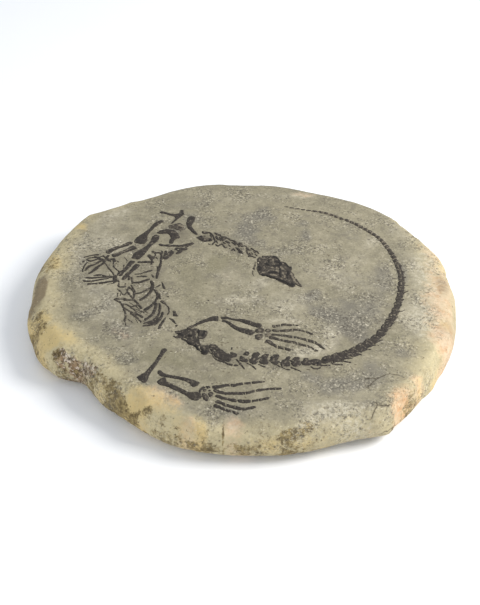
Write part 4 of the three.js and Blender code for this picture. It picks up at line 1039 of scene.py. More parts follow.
# What is drawn for each bone on top of its outline, or instead of it where it says own. Strokes are
# rows of x, y and half width (0.5 where it is left out), shapes are closed outlines, cuts take away,
# and dark and pale are ridges and hollows.
DETAILS = {
    "skull": {
        "dark": [[(14, 14, 0.9), (17.5, 13, 0.9), (20, 11.5, 0.9), (23, 10.5, 0.8), (26, 8.5, 0.9),
            (29, 6.5, 0.9), (32, 4.3, 0.9), (35, 1.5, 0.9), (37, 0, 0.8)], [(24, 38.5, 1.2), (26, 37, 1.2),
            (28, 33.5, 1), (29, 31, 0.9)], [(24.5, 31, 0.8), (26.5, 31, 0.9), (28.5, 29.5, 1),
            (29, 27.5, 0.9), (27.5, 26, 0.7), (25, 25.5, 0.9), (23.5, 25.3, 0.8)], [(30.5, 31.5, 0.8),
            (32.5, 29.5, 1), (34, 27, 1), (35, 24.5, 0.8)], [(19.5, 36, 0.6), (19.6, 33, 0.8),
            (19.5, 30.5, 0.6)], [(17.5, 29, 1), (18.5, 27.5, 1.2), (19.5, 26.5, 0.8)], [(11.8, 25, 1),
            (13, 22, 1.3), (12, 20, 1)], [(36, 24.5, 0.9), (36.7, 22.5, 0.8)], [(28, 25), (28.2, 20, 0.7),
            (28, 14, 0.6), (28.5, 11)], [(34.5, 18, 0.9), (34.5, 15, 0.9), (33.5, 13, 0.7)], [(20, 16.5, 1),
            (23, 17.5, 1.2), (25.5, 16.5, 0.9)], [(33.5, 11), (33.8, 9, 0.6)], [(37, 2.5, 0.7),
            (38.5, 1, 0.6)]],
        "pale": [[(23, 34, 0.9), (23.3, 32.5, 0.7)], [(11.5, 31.2, 0.6), (11.6, 29.8, 0.6)],
            [(22.5, 23.5, 1)], [(25.7, 24), (25.7, 19)], [(29, 24.2, 0.8), (30, 22.8, 0.9),
            (31, 21.3, 0.6)], [(28.6, 9.6, 0.7), (29.5, 8.6, 0.6)], [(15.3, 17, 1)], [(21, 14.5, 0.8),
            (23, 14, 0.9), (25, 13, 0.8)], [(24, 28, 0.8)], [(31.5, 13.5), (31.5, 10.5)], [(32.3, 20)],
            [(26.5, 34)], [(12.5, 34), (12.8, 32.5)], [(36.4, 17, 0.6), (37.6, 12, 0.7), (39.2, 6.5, 0.8),
            (41.4, 2)], [(16, 36.5, 0.4), (18.5, 35, 0.4), (21.5, 36, 0.4)], [(15.5, 24.5),
            (17, 22.5, 0.4)], [(20.5, 21), (23.5, 20, 0.4)], [(27, 22.5, 0.4), (26.8, 17.5, 0.4)],
            [(30.3, 17), (30.8, 14, 0.4)], [(17.5, 33, 0.4), (17, 30.5, 0.4)]],
        "cuts": [[(11.4, 31.3, 0.35), (11.5, 29.8, 0.35)], [(13.6, 40.2), (13.9, 38, 0.4)]],
        "shapes": [[(35.5, 22), (37.6, 17), (39.2, 11), (41.2, 5), (43.4, -0.5), (41.4, 0.2), (38.8, 3.5),
            (36.4, 9), (34.6, 14)]],
    },
    "lower_jaw": {
        "strokes": [[(9.2, 31.5), (8.6, 27), (7.8, 22.8, 0.9), (8.3, 21, 0.6)], [(6.9, 20), (6.8, 16, 0.4),
            (7.5, 13.5, 0.3)]],
    },
    "neck_vertebrae_base": {
        "own": True,
        "shapes": [[(-38.5, 65.5), (-35, 68), (-33, 66.5), (-30, 65.5), (-26, 64.8), (-25.2, 62.3),
            (-26.5, 60.3), (-30, 60), (-33, 61.5), (-35, 63.5)], [(-34.2, 75.2), (-31, 74.4), (-28.5, 73.4),
            (-29.5, 71.3), (-32.5, 70.8), (-34, 72.5)]],
        "strokes": [[(-30, 73.2, 1), (-27.5, 72.3, 1), (-25.7, 69.5, 0.9), (-24.5, 67, 0.8), (-24, 64, 0.8),
            (-23.2, 61, 0.8), (-23.8, 58.5, 0.9), (-25, 57, 0.9)], [(-28.5, 57), (-27, 55.6),
            (-25, 55.7, 0.4)], [(-23.5, 72.3, 0.8), (-22, 70.6, 1.2), (-20, 69.2, 1)], [(-19.4, 70),
            (-18.4, 67.6, 0.8)], [(-22.4, 67.5, 0.8), (-21.5, 64.5, 1), (-20.5, 62.6, 0.7)],
            [(-27.2, 68.8, 0.6), (-26, 66.2, 0.8)], [(-36.5, 64.3, 0.7), (-33.5, 61.5, 0.9),
            (-30.5, 60, 0.8)], [(-34.5, 68.3, 0.6), (-31.5, 67.6, 0.7)]],
        "pale": [[(-31, 62.5, 1.2), (-28.5, 63, 0.9)], [(-31.5, 73, 0.8)], [(-33, 64.8, 0.6)],
            [(-21.8, 66)]],
        "dark": [[(-35.5, 66.8, 1), (-33, 65.8, 0.9)], [(-27.3, 62, 1), (-27.5, 61, 0.7)]],
    },
    "neck_vertebrae_middle": {
        "own": True,
        "shapes": [[(-18.2, 66.5), (-16.5, 67.6), (-13, 65.3), (-15.2, 62.3), (-16.4, 60.4), (-18, 61.5),
            (-18.5, 64)]],
        "strokes": [[(-22, 61.5), (-21.5, 59, 0.6), (-21, 57.5)], [(-22.5, 55.8, 0.7), (-20.8, 53.6, 0.7),
            (-19.5, 55, 0.8), (-17.6, 56.6, 0.8), (-16.7, 55.3, 0.7), (-15.8, 53, 0.7), (-14.6, 51.4, 0.8),
            (-13.5, 52.4, 0.6)], [(-14.2, 60.5, 0.9), (-12.8, 59, 1.1), (-11.5, 57.6, 0.8)], [(-12.5, 63.6),
            (-11.4, 62.5)], [(-11.3, 50.2, 0.7)], [(-19.3, 66.5, 0.6), (-19, 63, 0.7), (-18.8, 60.8)],
            [(-16.6, 59, 0.7), (-15, 57.4, 0.8)], [(-15.4, 66.8, 0.6), (-12.6, 64.5, 0.7),
            (-10.6, 62.8, 0.6)], [(-12.4, 55.8, 0.6), (-11, 53.6, 0.6)]],
        "pale": [[(-16.5, 64, 0.6)], [(-17.4, 58.6)], [(-13.4, 62.4)]],
    },
    "neck_vertebrae_head_end": {
        "own": True,
        "strokes": [[(-10.6, 62.2, 0.8), (-9, 61.3, 1), (-7.5, 60.3, 1.1), (-6.5, 58.5, 0.9),
            (-6.3, 56.7, 0.6)], [(-5.3, 56.3, 0.6), (-4.3, 54.5, 0.7), (-3.5, 53, 0.6)], [(-5.5, 50.6, 0.9),
            (-4, 48.6, 1.3), (-3, 47, 1.2), (-1.8, 45, 1), (-0.8, 43, 0.6)], [(-9.6, 47.4, 0.7),
            (-8.3, 50.2), (-7.3, 47.5, 0.7), (-6.5, 46.8, 0.4)], [(-3.6, 58.4, 0.6), (-2.3, 56.9, 0.8),
            (-1.1, 55.2, 0.7)], [(0.5, 54, 0.6), (1.8, 52.8, 0.8), (3.2, 51.4, 0.8)], [(2.7, 49.6, 0.6),
            (3.5, 48.2, 0.6), (5.5, 48)], [(6, 50.5, 0.7), (7.5, 49, 0.8), (9.3, 47, 1), (11, 45.6, 0.8),
            (11.9, 43.5, 0.6)], [(1.7, 46.2), (2.8, 45.2)], [(4.7, 43.5), (5, 41, 0.8), (3.7, 39.2, 0.7),
            (5.3, 39.8, 0.7), (7.3, 39.2, 0.6)], [(9, 42.2, 0.6), (10.3, 40.5, 0.6)], [(-2, 50.3, 0.4),
            (-1.7, 48.6, 0.4)], [(-9.4, 59, 0.7), (-7.8, 57.2, 0.9), (-6.6, 55, 0.6)], [(-4.6, 57.4, 0.6),
            (-2.6, 54.8, 0.9), (-0.8, 52.9, 0.8)], [(-6.6, 51.4, 0.6), (-4.6, 50.4, 0.9)], [(2, 51, 0.7),
            (3.6, 49.6, 0.8)], [(-4.6, 45.8, 0.6), (-2.6, 43.6, 0.6)], [(2.4, 47.6), (2.6, 44.4, 0.6),
            (4, 41.6, 0.7)], [(8, 46, 0.7), (9.4, 44.2, 0.7)], [(6.4, 44.6), (7, 42, 0.6)],
            [(6.6, 39.4, 0.6), (9, 37.8, 0.6)]],
    },
    "back_vertebra_front": {
        "cuts": [[(-52.5, 48.6, 0.4), (-51.2, 50.4, 0.3)], [(-48.3, 51.6, 0.3), (-47.6, 53.2, 0.3)]],
        "strokes": [[(-46.5, 51.5, 0.6), (-44.5, 53.5)], [(-51, 46.5, 0.6), (-49.5, 48.5, 0.6)]],
        "pale": [[(-52, 51.5, 0.7), (-50, 52.5, 0.6)], [(-50.5, 47.8, 0.4)]],
    },
    "back_vertebra_second": {
        "cuts": [[(-61, 47, 0.4), (-60.4, 44, 0.3)], [(-62.5, 41.5, 0.3), (-60.5, 40, 0.35)]],
        "strokes": [[(-65.8, 47.3, 0.4), (-64.8, 45.5, 0.7), (-65.3, 43.3, 0.6)], [(-58.3, 46.5, 0.6),
            (-56.2, 45.4, 0.6), (-56.5, 43, 0.4)], [(-64.6, 40), (-65.2, 37.5, 0.6), (-64, 35.3)]],
        "pale": [[(-59.4, 43.5, 0.7), (-59.8, 41)], [(-62.3, 38.5, 0.6)]],
    },
    "coracoid": {
        "pale": [[(-52.5, 83, 1.4), (-49.5, 82, 1.2)]],
        "strokes": [[(-61, 79.5, 0.7), (-56.5, 80.2, 1.2), (-52.5, 78.2, 0.9), (-51.3, 74.8)],
            [(-49.3, 82.5, 0.4), (-49.6, 77.8, 0.4)], [(-47.9, 81.5, 0.3), (-48.2, 77.5, 0.3)]],
    },
    "radius_right": {"pale": [[(-107, 49.2, 0.4), (-101, 52.8, 0.6), (-96, 55.8), (-92, 57.8, 0.3)]]},
    "ulna_right": {"pale": [[(-103, 41.8), (-97, 45.6, 0.6), (-93, 48.8, 0.6), (-88.5, 52.4, 0.8)]]},
    "ilium": {
        "strokes": [[(-50.5, -59.3, 0.6), (-49, -60.8, 0.7), (-46.3, -60.7, 0.7)], [(-34.6, -50.6),
            (-34, -54, 0.7)], [(-49.8, -54, 0.7), (-48, -53.6, 0.8)]],
        "pale": [[(-38.7, -55.5, 0.8), (-38.3, -57.5, 0.6)], [(-49, -55.4)]],
        "dark": [[(-43, -51.5, 1), (-40.5, -50.8, 1), (-38, -51.2, 0.9)], [(-40, -58.8, 0.7),
            (-38.4, -59.2, 0.8)], [(-46.5, -57, 1), (-44.5, -59, 0.9)]],
    },
    "pubis": {
        "dark": [[(-32.6, -52, 0.8), (-33, -55.5, 0.8)], [(-28.3, -54.2, 0.8), (-30, -59.5, 0.7)]],
        "strokes": [[(-33.6, -51.2), (-32.8, -52.6, 0.6)]],
    },
    "sacrum": {
        "shapes": [[(-42.8, -59.6), (-38.5, -59.9), (-35.6, -58.6), (-34.6, -61.4), (-36, -66),
            (-39, -66.5), (-41.6, -63.8)]],
        "strokes": [[(-33.2, -61.5), (-32.8, -63.8, 0.6)], [(-34.6, -66.2, 0.6), (-33, -67.6, 0.6)]],
        "cuts": [[(-32.2, -70.3, 0.45), (-31.6, -73, 0.35), (-30.8, -75, 0.3)], [(-43.4, -61.2, 0.35),
            (-41.5, -62.6, 0.4)]],
        "pale": [[(-38, -61, 0.6), (-37, -63.5, 0.6)], [(-29, -71.5, 0.8), (-28, -73.5, 0.8)]],
        "dark": [[(-30, -75, 0.8), (-28.5, -77.8, 1), (-27, -76.5, 0.9)], [(-35, -70, 0.8),
            (-32.5, -73.8, 0.8)], [(-40.3, -67.2, 0.6), (-38.2, -68, 0.6)]],
    },
    "tail_root": {
        "cuts": [[(-25.2, -73, 0.3), (-24, -76), (-23, -78, 0.3)], [(-10.6, -77.2, 0.6), (-10.1, -79, 0.3)],
            [(-21.3, -74.6, 0.6), (-20.3, -75.6)], [(-22.2, -79.5, 0.3), (-20.6, -82.4, 0.35),
            (-17.6, -84.6, 0.3)]],
        "pale": [[(-18.6, -79.4), (-17.8, -82)], [(-21, -71.2, 0.6), (-23, -71.3)]],
        "strokes": [[(-22.6, -77, 0.6), (-21.6, -82, 0.6), (-18.5, -85.5, 0.7), (-14.5, -87.3, 0.8),
            (-11, -89.7, 0.9), (-9, -90.6, 0.7)], [(-8.5, -78.8, 0.8), (-7.6, -81.3, 0.9),
            (-6, -80.2, 0.8)], [(-8.8, -72), (-9, -73.8)]],
    },
    "tail_vertebra_1": {
        "own": True,
        "shapes": [[(-2.8, -81.4), (-0.6, -81.9), (1.2, -84), (2.4, -85.6), (1.8, -88.4), (-0.6, -87.6),
            (-3.4, -85.8)], [(-0.6, -79.8), (0.2, -77), (2, -76.2), (3.6, -77.2), (3.4, -79.4),
            (1.8, -81)]],
        "cuts": [[(0.4, -82.6, 0.4), (0.8, -83.8, 0.3)]],
    },
    "tail_vertebra_2": {
        "own": True,
        "shapes": [[(3.4, -85.6), (5, -82.5), (6, -79), (8, -77), (10.4, -77.3), (11.1, -79.6),
            (9.5, -82.5), (9.8, -85), (9.3, -88.5), (7, -90), (4.5, -89)]],
        "pale": [[(7.4, -84, 0.6), (6.6, -86)]],
    },
    "tail_vertebra_3": {
        "own": True,
        "shapes": [[(10.8, -85.5), (12, -83.5), (12.8, -80), (15, -78.8), (17.5, -79.2), (17.3, -81.5),
            (15.8, -84), (17, -87.5), (15.5, -90.3), (12, -89.6), (10.6, -88)]],
        "pale": [[(11.6, -86.8, 0.6), (12.4, -84.8)], [(15.6, -82, 0.4), (14.6, -80.6, 0.4)]],
        "strokes": [[(9.8, -84.2, 0.3), (11.4, -82.4, 0.4)], [(16.8, -86, 0.4), (18.4, -86.4, 0.4)]],
    },
    "tail_vertebra_4": {
        "own": True,
        "shapes": [[(18, -85.5), (18.5, -82), (20.5, -80), (23.8, -79), (24.8, -81.5), (23.5, -84.5),
            (24, -88), (22.8, -90.3), (19.5, -89.5), (18.3, -87.5)]],
        "strokes": [[(22.8, -90), (24.6, -92.2, 0.6)], [(23.6, -86.5), (25.4, -87.6, 0.4)]],
        "pale": [[(20.4, -86.8), (21, -84.4)]],
    },
    "tail_vertebra_5": {
        "own": True,
        "shapes": [[(25.5, -88.5), (27, -85.5), (29.5, -82.5), (31.4, -80.8), (32.8, -82.3), (31.5, -86),
            (32.3, -90), (31, -92), (27, -92), (25.4, -91)]],
        "pale": [[(28.5, -88.5, 0.8), (29.5, -86.5, 0.6)], [(27, -90.4)]],
    },
    "ankle_upper": {
        "own": True,
        "shapes": [[(8.7, -51.3), (13.5, -50.7), (14.7, -53.5), (12.5, -56), (8.5, -55.5)], [(8.3, -57.5),
            (12.5, -57), (13.5, -60), (11.8, -63.3), (9, -63.5), (7.8, -60.5)], [(15.5, -52), (18, -50.8),
            (19.8, -53.5), (18, -55.5), (16, -55.3)], [(14.8, -57), (19, -56.5), (19.3, -59.5),
            (15.5, -60.3)]],
        "pale": [[(11.5, -53.4, 1.2)], [(17.6, -53.2, 0.9)], [(16, -58.5, 1.6), (18, -58.2, 1.4)],
            [(10.6, -60.2, 0.8)]],
    },
    "ankle_lower": {
        "own": True,
        "shapes": [[(-31.2, -116.5), (-29.8, -113.6), (-27.6, -112.3), (-26.4, -113.6), (-28.6, -115.4),
            (-30, -118.6)], [(-28.8, -119.5), (-26.5, -119.3), (-24, -123.5), (-25.3, -127), (-28, -124.5)],
            [(-24, -118.3), (-21.8, -118), (-21.2, -121), (-23.3, -122.8), (-24.5, -120.5)],
            [(-26.5, -111.8), (-23.3, -112), (-23.2, -114), (-25.5, -114.5)], [(-28.4, -115.6),
            (-27.2, -114.6), (-26, -115.6), (-26.4, -117.3), (-27.8, -117.5)], [(-24.9, -116.8),
            (-23.8, -115.6), (-22.6, -116.4), (-23.6, -117.4)], [(-31, -119.4), (-29.6, -119.6),
            (-29, -123.4), (-30.4, -124.4)]],
        "pale": [[(-26.4, -122.4, 0.7), (-26.2, -124, 0.6)], [(-22.9, -120.2)], [(-27.2, -116.1, 0.45)]],
    },
    "scapula": {"pale": [[(-58, 73.5, 1), (-56.5, 72.5, 0.8)]]},
    "humerus_right": {"pale": [[(-81.5, 76, 0.8), (-77, 80.5, 0.6)]]},
    "hand_right": {
        "strokes": [[(-116.3, 42.8, 1.1), (-120, 42.2, 0.6), (-123.2, 41, 0.9), (-126.2, 39.5, 0.7)],
            [(-126.5, 33.5, 1.2)], [(-123.5, 32.3, 0.8), (-124.5, 30, 0.8), (-125.3, 27, 0.7),
            (-125.7, 23, 0.6), (-125.5, 20, 0.6)], [(-118.5, 40.6, 0.4), (-114.5, 39.4),
            (-111.6, 40.6, 0.6)], [(-118, 32, 0.3), (-114.8, 32.5, 0.4)], [(-120.3, 29.5, 0.3),
            (-118.4, 28.8, 0.4)], [(-113.6, 24.8, 0.4), (-116.6, 20.8, 0.3)], [(-111.4, 41.6, 0.6),
            (-109.7, 38.4, 0.7), (-107.6, 35.2, 0.7), (-106, 34)], [(-104.6, 37), (-102.5, 33.2, 0.7),
            (-102.5, 28.6), (-101.6, 25.4, 0.6), (-98.4, 21.6, 0.4)], [(-100.4, 34.6, 0.3),
            (-98.6, 32.4, 0.3)], [(-106.4, 36.8), (-104.8, 33, 0.4)]],
        "cuts": [[(-121, 38.5, 0.3), (-121, 35.8, 0.3)], [(-120.8, 26, 0.3), (-118.8, 24.2, 0.3)],
            [(-114.8, 22.5, 0.25), (-113.4, 24.5, 0.25)]],
    },
    "hand_left": {
        "strokes": [[(-116.4, 15.3, 0.4), (-113, 14.4)], [(-123, 12.4, 0.3), (-118.6, 12.6)],
            [(-112.6, 12.2, 0.4), (-106, 12.6, 0.4)], [(-122.5, 8, 0.4), (-116, 8), (-110.6, 9.2, 0.4)],
            [(-104.4, 3.2, 0.4), (-99.6, 4.5)], [(-99.3, 14.5, 0.7), (-99, 10.5, 1.1), (-98, 7, 0.7)],
            [(-97.2, 19.5, 0.8), (-96, 16, 0.8)], [(-97, 9, 0.4), (-96, 6, 0.4)]],
        "cuts": [[(-110.5, 14.5)], [(-112.2, 5.8, 0.3), (-111.8, 3.4, 0.3)], [(-106.5, 9.4, 0.25),
            (-106.3, 7.4, 0.25)]],
    },
    "toe_lower_2": {"shift": (0, 0.7)},
    "toe_lower_3": {"shift": (0, 0.5)},
    "toe_lower_4": {"shift": (0, 0.9)},
    "toe_lower_5": {"shift": (0, 1.2)},
}

# Loose bits of the skeleton, each list one piece
LOOSE = {
    "back_vertebrae_rear": {
        "shapes": [[(-76.3, 42), (-74.5, 42.3), (-72.5, 40), (-70.5, 39.5), (-70.8, 36), (-73.5, 34.5),
            (-74.8, 37.5), (-76.5, 39.5)], [(-71.5, 15.5), (-69, 12), (-70.5, 11)], [(-53.2, -30.2),
            (-51, -30), (-50, -33), (-48.8, -36.5), (-52.8, -36), (-52.5, -33)]],
        "strokes": [[(-69.5, 38), (-68, 36)], [(-67, -0.4, 0.6), (-65.5, 0.2, 0.8), (-64.2, 2, 0.7)],
            [(-75.8, 41.4, 0.6), (-74.4, 36.8, 0.7)], [(-72.6, 36, 0.6), (-72.3, 32.6, 0.8),
            (-72.6, 29, 0.6)], [(-70.6, 43.4), (-70, 40.6, 0.6)], [(-67.6, -5.5, 0.4), (-66.3, -8, 0.4)],
            [(-56, -27.5, 0.4), (-55.6, -31), (-57, -35.5, 0.4)], [(-62.8, 5.3, 0.4), (-62, 2, 0.8),
            (-60.5, -3, 0.8)], [(-64, -9), (-63.3, -15, 0.9)], [(-61.5, -18.5, 1.2), (-60, -20.5, 1.2),
            (-58, -23), (-56.3, -26), (-55.8, -30, 0.6)], [(-54.5, -39, 0.6), (-52, -41.5, 1),
            (-50.3, -44.5, 0.7)], [(-49.3, -47.2, 1)], [(-57.3, -12.8, 0.8)], [(-60.8, -6.3)],
            [(-26.8, -17.5, 0.6)], [(-61.6, -18.4, 1.2)]],
    },
    "ribs_loose": {
        "strokes": [[(-84, 16), (-80, 16.6, 0.6), (-77, 18.5, 0.9), (-73, 20, 0.9), (-71.5, 21.5)],
            [(-82.3, 12.7, 0.8), (-78, 13, 0.9), (-75.5, 12.8, 0.7)], [(-82, -8.7, 0.8), (-78.5, -7.8, 0.8),
            (-75.5, -5.5, 0.9), (-73, -3, 1), (-71.5, -1.5)], [(-57.8, -37.5, 0.6), (-59.3, -41.5, 0.9),
            (-61, -46, 1), (-62.2, -50.3, 0.8)], [(-63.4, -37.4, 0.6), (-64, -41, 1), (-67, -43.6, 0.9),
            (-72, -44.8, 0.6)], [(-74.6, -42, 0.3), (-71.6, -40.8, 0.4)], [(-62.6, -43),
            (-65.2, -46.6, 0.4)], [(-67.8, 26, 0.4), (-67.6, 21, 0.4), (-66.6, 16, 0.3)]],
    },
    "belly_ribs_loose": {
        "strokes": [[(-109, 31, 0.4), (-106, 25, 0.6), (-103.5, 20.5, 0.8), (-101.5, 17, 0.6),
            (-99.5, 12, 0.6), (-97, 7, 0.6)], [(-102.3, 27, 0.6), (-101.2, 25, 0.6), (-99.5, 22.5),
            (-97.5, 20.5)], [(-94.2, 28, 0.6), (-94, 23, 0.6)], [(-94.5, 38.5, 0.3), (-92, 34, 0.3),
            (-92.5, 31, 0.3)], [(-96, 5), (-95.7, 0, 0.8), (-91, 0, 0.8)], [(-91, 4), (-91, 0)],
            [(-88.8, 13, 1), (-88.5, 9, 1)], [(-86.7, 12, 0.8), (-85.5, 4, 0.8)], [(-86.3, 2),
            (-84, -3.5, 0.6), (-82.5, -7.5, 0.6)], [(-95, -4), (-92, -9), (-90.5, -10), (-88.8, -6),
            (-88.5, -1)], [(-95.7, -8), (-95.7, -12)], [(-75, -28.5), (-71.5, -32)], [(-85, -26, 0.4),
            (-80, -28, 0.4), (-76, -31)], [(-85.5, -39.5, 0.4), (-82, -43, 0.4)], [(-97.5, -14.6, 0.2),
            (-93, -13.8, 0.3), (-88, -14.8, 0.2)], [(-90.5, -17.4, 0.3), (-86, -16.8)], [(-87.5, -42, 0.4),
            (-86.6, -46, 0.3)], [(-88.4, -21.4, 0.3), (-82, -28, 0.3), (-76.4, -33, 0.3)],
            [(-86, -23.6, 0.3), (-81, -30, 0.3), (-77.4, -35.2, 0.3)], [(-84.4, -29.6, 0.3),
            (-80, -35, 0.3), (-76, -42, 0.3)], [(-80.6, -24.6, 0.3), (-76.4, -29.4, 0.3),
            (-72.4, -34, 0.3)], [(-84.6, -33, 0.3), (-79, -37.4, 0.3), (-75.6, -44, 0.2)],
            [(-82.4, -31, 0.4), (-79, -33), (-75.4, -37.6)], [(-80, -39, 0.2), (-77, -45.6, 0.2)],
            [(-93.4, -17.4, 0.2), (-90.6, -22.4, 0.2)], [(-96.6, -2.4, 0.3), (-94.4, -6.4, 0.3)],
            [(-93.6, -7.4, 0.2), (-93.4, -11, 0.2)], [(-86, -19.6, 0.2), (-82.4, -22.8, 0.3),
            (-80, -24, 0.2)], [(-79.6, -26.6, 0.2), (-77.6, -29.8, 0.2)], [(-90.4, -2, 0.2),
            (-86.4, -10.4, 0.3), (-84.6, -14.2, 0.2)], [(-104.6, 16.6, 0.2), (-103, 12.8, 0.2)]],
    },
    "chevrons": {
        "strokes": [[(-5.5, -85, 0.6), (-3, -89, 0.8), (0, -94.5, 0.7)], [(2, -89), (5, -91, 0.7),
            (8, -95)], [(10, -90), (14, -92.5, 0.6)], [(26, -92.6, 0.4), (28.5, -94.4), (31.5, -95.5)],
            [(32.8, -93, 0.6), (36, -95, 0.7), (39.3, -97, 0.6)], [(46.6, -92), (48.5, -94, 0.8),
            (51.5, -94, 0.8), (53, -93, 0.6)], [(43.4, -95, 0.4), (45.6, -95.4, 0.4)], [(54, -91, 0.7),
            (59.6, -90.6, 0.8)], [(61, -88, 0.6), (64, -89.6, 0.7), (68.5, -89.8, 0.8)], [(68, -83.6),
            (70, -86, 0.7), (74.5, -87.4, 0.9)], [(80.4, -77.4), (83, -79.4, 0.6)], [(86.4, -73.2),
            (90, -73.4, 0.6)], [(-6.4, -91, 1), (-5, -91.2, 0.7)], [(93, -68.6, 0.4), (96, -69, 0.3)],
            [(115.5, -30, 0.3), (117.5, -29.6, 0.4), (119.4, -28.2, 0.3)], [(122, -6.4, 0.3),
            (125, -4.4, 0.3)], [(121.5, 2.4, 0.3), (126.5, 2.8, 0.3)]],
    },
}

# Places along x of the light gaps between a toe's joints
TOE_JOINTS = {
    "toe_lower_1": (-9.8, -0.4, 4.8), "toe_lower_2": (-0.8, 0.8, 7.6, 21.6),
    "toe_lower_3": (-5, -1, 4.7, 9.5), "toe_lower_4": (-12.5, -6, 0.4, 4.3),
    "toe_lower_5": (-12.4, -8.4, -5), "toe_upper_1": (23.2, 26.6, 35.6, 37.2),
    "toe_upper_2": (24, 35.4, 39.4, 44.4, 46.4), "toe_upper_3": (26.2, 35.4, 38, 45.4, 50.4),
    "toe_upper_4": (34.4, 38.6, 45, 50.2), "toe_upper_5": (23.8, 28.6),
}
TOE_GAP = 0.22
TOE_WAIST = 0.14
JOINT_SLANT = 0.25
JOINT_REACH = 3

# Tail beyond the traced vertebrae: x, y and half width
TAIL_LINE = [
    (60.5, -84.2, 4.4), (70, -80.2, 4.4), (77, -76.6, 4.3), (82.3, -72.4, 4.2), (88, -67.5, 3.9),
    (94.3, -62.2, 3.5), (98.2, -56.5, 3.1), (101.8, -50.9, 3), (105.9, -44.1, 3), (109.2, -37.5, 3),
    (111.9, -30.8, 2.8), (114, -24.5, 2.6), (117, -15, 2.6), (118.2, -9, 2.4), (119.6, -3, 2.4),
    (121, 5, 2.3), (121.7, 12, 2.3), (121.7, 20, 2.2), (121, 27, 2.1), (119.8, 34.9, 1.9),
    (118.2, 42.9, 1.9), (116, 50.2, 1.8), (113.4, 57.8, 1.8), (110.1, 65.7, 1.8), (105.8, 71.9, 1.8),
    (101.7, 76.6, 1.8), (97.8, 81.1, 1.7), (93.8, 85.5, 1.7), (89.6, 88.9, 1.7), (85.6, 92, 1.6),
    (81.6, 94.3, 1.5), (77.6, 97.3, 1.5), (73.4, 100.1, 1.4), (69.4, 102.3, 1.4), (65.6, 104.1, 1.3),
    (61.7, 105.2, 1.2), (56.6, 106.4, 1.1), (51.6, 107.8, 0.9), (47.6, 109, 0.8), (42, 110.5, 0.7),
    (37.6, 112, 0.6), (32, 113, 0.5),
]
TAIL_TRACED = {
    "shapes": [[(33.5, -88), (34.3, -84.5), (36, -82.5), (38.4, -82.8), (38, -85.5), (39.6, -89),
        (38.5, -91), (35, -91.8), (33.5, -90)], [(40.2, -88.5), (42, -86), (42.3, -83.5), (44.5, -83.3),
        (46.3, -87), (46.1, -90), (42, -90.5)], [(47, -87.5), (47.3, -85), (52, -84.3), (53.6, -86),
        (53.8, -89), (51.5, -90.8), (47.8, -90)], [(54.5, -85.5), (55.5, -83), (58.5, -81.3), (60.4, -84),
        (60.2, -86.5), (57, -88.2), (54.5, -87.8)]],
    "pale": [[(43, -88.6, 0.6), (44, -86, 0.6)], [(36.2, -88, 0.6)], [(50.2, -87.5)], [(56.8, -84)]],
    "strokes": [[(38.6, -88.6), (40.6, -87.4, 0.4)], [(45.6, -86), (47.6, -86.6)], [(53.2, -86.6, 0.6),
        (55, -86, 0.6)], [(32.6, -86, 0.3), (34.2, -86.6, 0.4)]],
    "dark": [[(57, -86, 1.2)], [(51.5, -88.8, 0.9)]],
}
TAIL_ROWS = ("tail_vertebrae_row_1", "tail_vertebrae_row_2", "tail_vertebrae_row_3")
TAIL_ROW_ENDS = (-43.0, 48.0)
TAIL_PITCH = 7.3
SMALL_PITCH = 4.9
SMALL_VERTEBRAE_FROM = 30.0
TAIL_THICKER = 0.25
TAIL_FAINT = (0.0, 0.05, 0.25)
# Vertebrae in front of this y show their spines, and those beyond this x end in a notch too
SPINES_UP_TO = -2.0
NOTCHED_BEYOND = 90.0
# Vertebrae thinner than this are drawn as one short stroke
THREAD_THIN = 1.15
TAIL_UNEVEN = 0.15
TAIL_MARGIN = 5
RIDGE = -0.8
HOLLOW = 0.6


def draw(drawing, detail):
    for loop in detail.get("shapes", ()):
        drawing.shape([loop], OUTLINE_SAMPLES)
    for rows in detail.get("strokes", ()):
        drawing.stroke(rows)
    for rows in detail.get("cuts", ()):
        drawing.cut(rows)
    for kind, value in (("dark", RIDGE), ("pale", HOLLOW)):
        for rows in detail.get(kind, ()):
            drawing.mark(rows, value)


def reach_of(detail, loops=()):
    places = [np.asarray(loop, float)[:, :2] for loop in loops]
    for kind in ("shapes", "strokes"):
        places += [np.array([row[:2] for row in rows], float) for rows in detail.get(kind, ())]
    everything = np.vstack(places)
    return everything.min(0) - 1, everything.max(0) + 1


def cut_joints(drawing, places):
    """Thin gaps across a toe, whose bones are a little waisted between them."""
    columns = drawing.x[:, 0]
    waist = np.zeros(len(columns))
    for low, high in zip(places[:-1], places[1:]):
        part = np.clip((columns - low) / (high - low), 0, 1)
        waist = np.maximum(waist, np.sin(part * math.pi))
    drawing.far += TOE_WAIST * waist[:, None]
    for place in places:
        column = int(np.argmin(abs(columns - place)))
        inside = drawing.y[column][drawing.far[column] < 0]
        if len(inside):
            middle = inside.mean()
            ends = [(place - JOINT_SLANT, middle + JOINT_REACH), (place + JOINT_SLANT, middle - JOINT_REACH)]
            drawing.cut([(*end, TOE_GAP) for end in ends])


# How far drawings grow beyond their outlines, how much more where a name starts like this, and how
# much paler such bones are
THICKNESS = 0.25
THICKER = {
    "neck": 0.35, "toe_lower_4": -0.1, "toe_lower_5": -0.17, "toe_lower": 0.15, "toe_upper": 0.02,
    "tail_vertebra": 0.4, "tail_root": 0.35, "ilium": 0.35, "sacrum": 0.35, "pubis": 0.25,
    "fibula_lower": 0.4, "tibia_lower": 0.2, "femur_lower": 0.25, "radius_right": 0.6, "hand_": -0.08,
    "radius": 0.2, "ulna": 0.2,
}
FAINT = {
    "skull": 0.2, "coracoid": 0.3, "pubis": 0.15, "lower_jaw": 0.35, "belly_ribs": 0.2, "toe_upper": 0.15,
    "ankle_upper": 0.2,
}


def share_for(table, node):
    return next((value for start, value in table.items() if node.startswith(start)), 0.0)


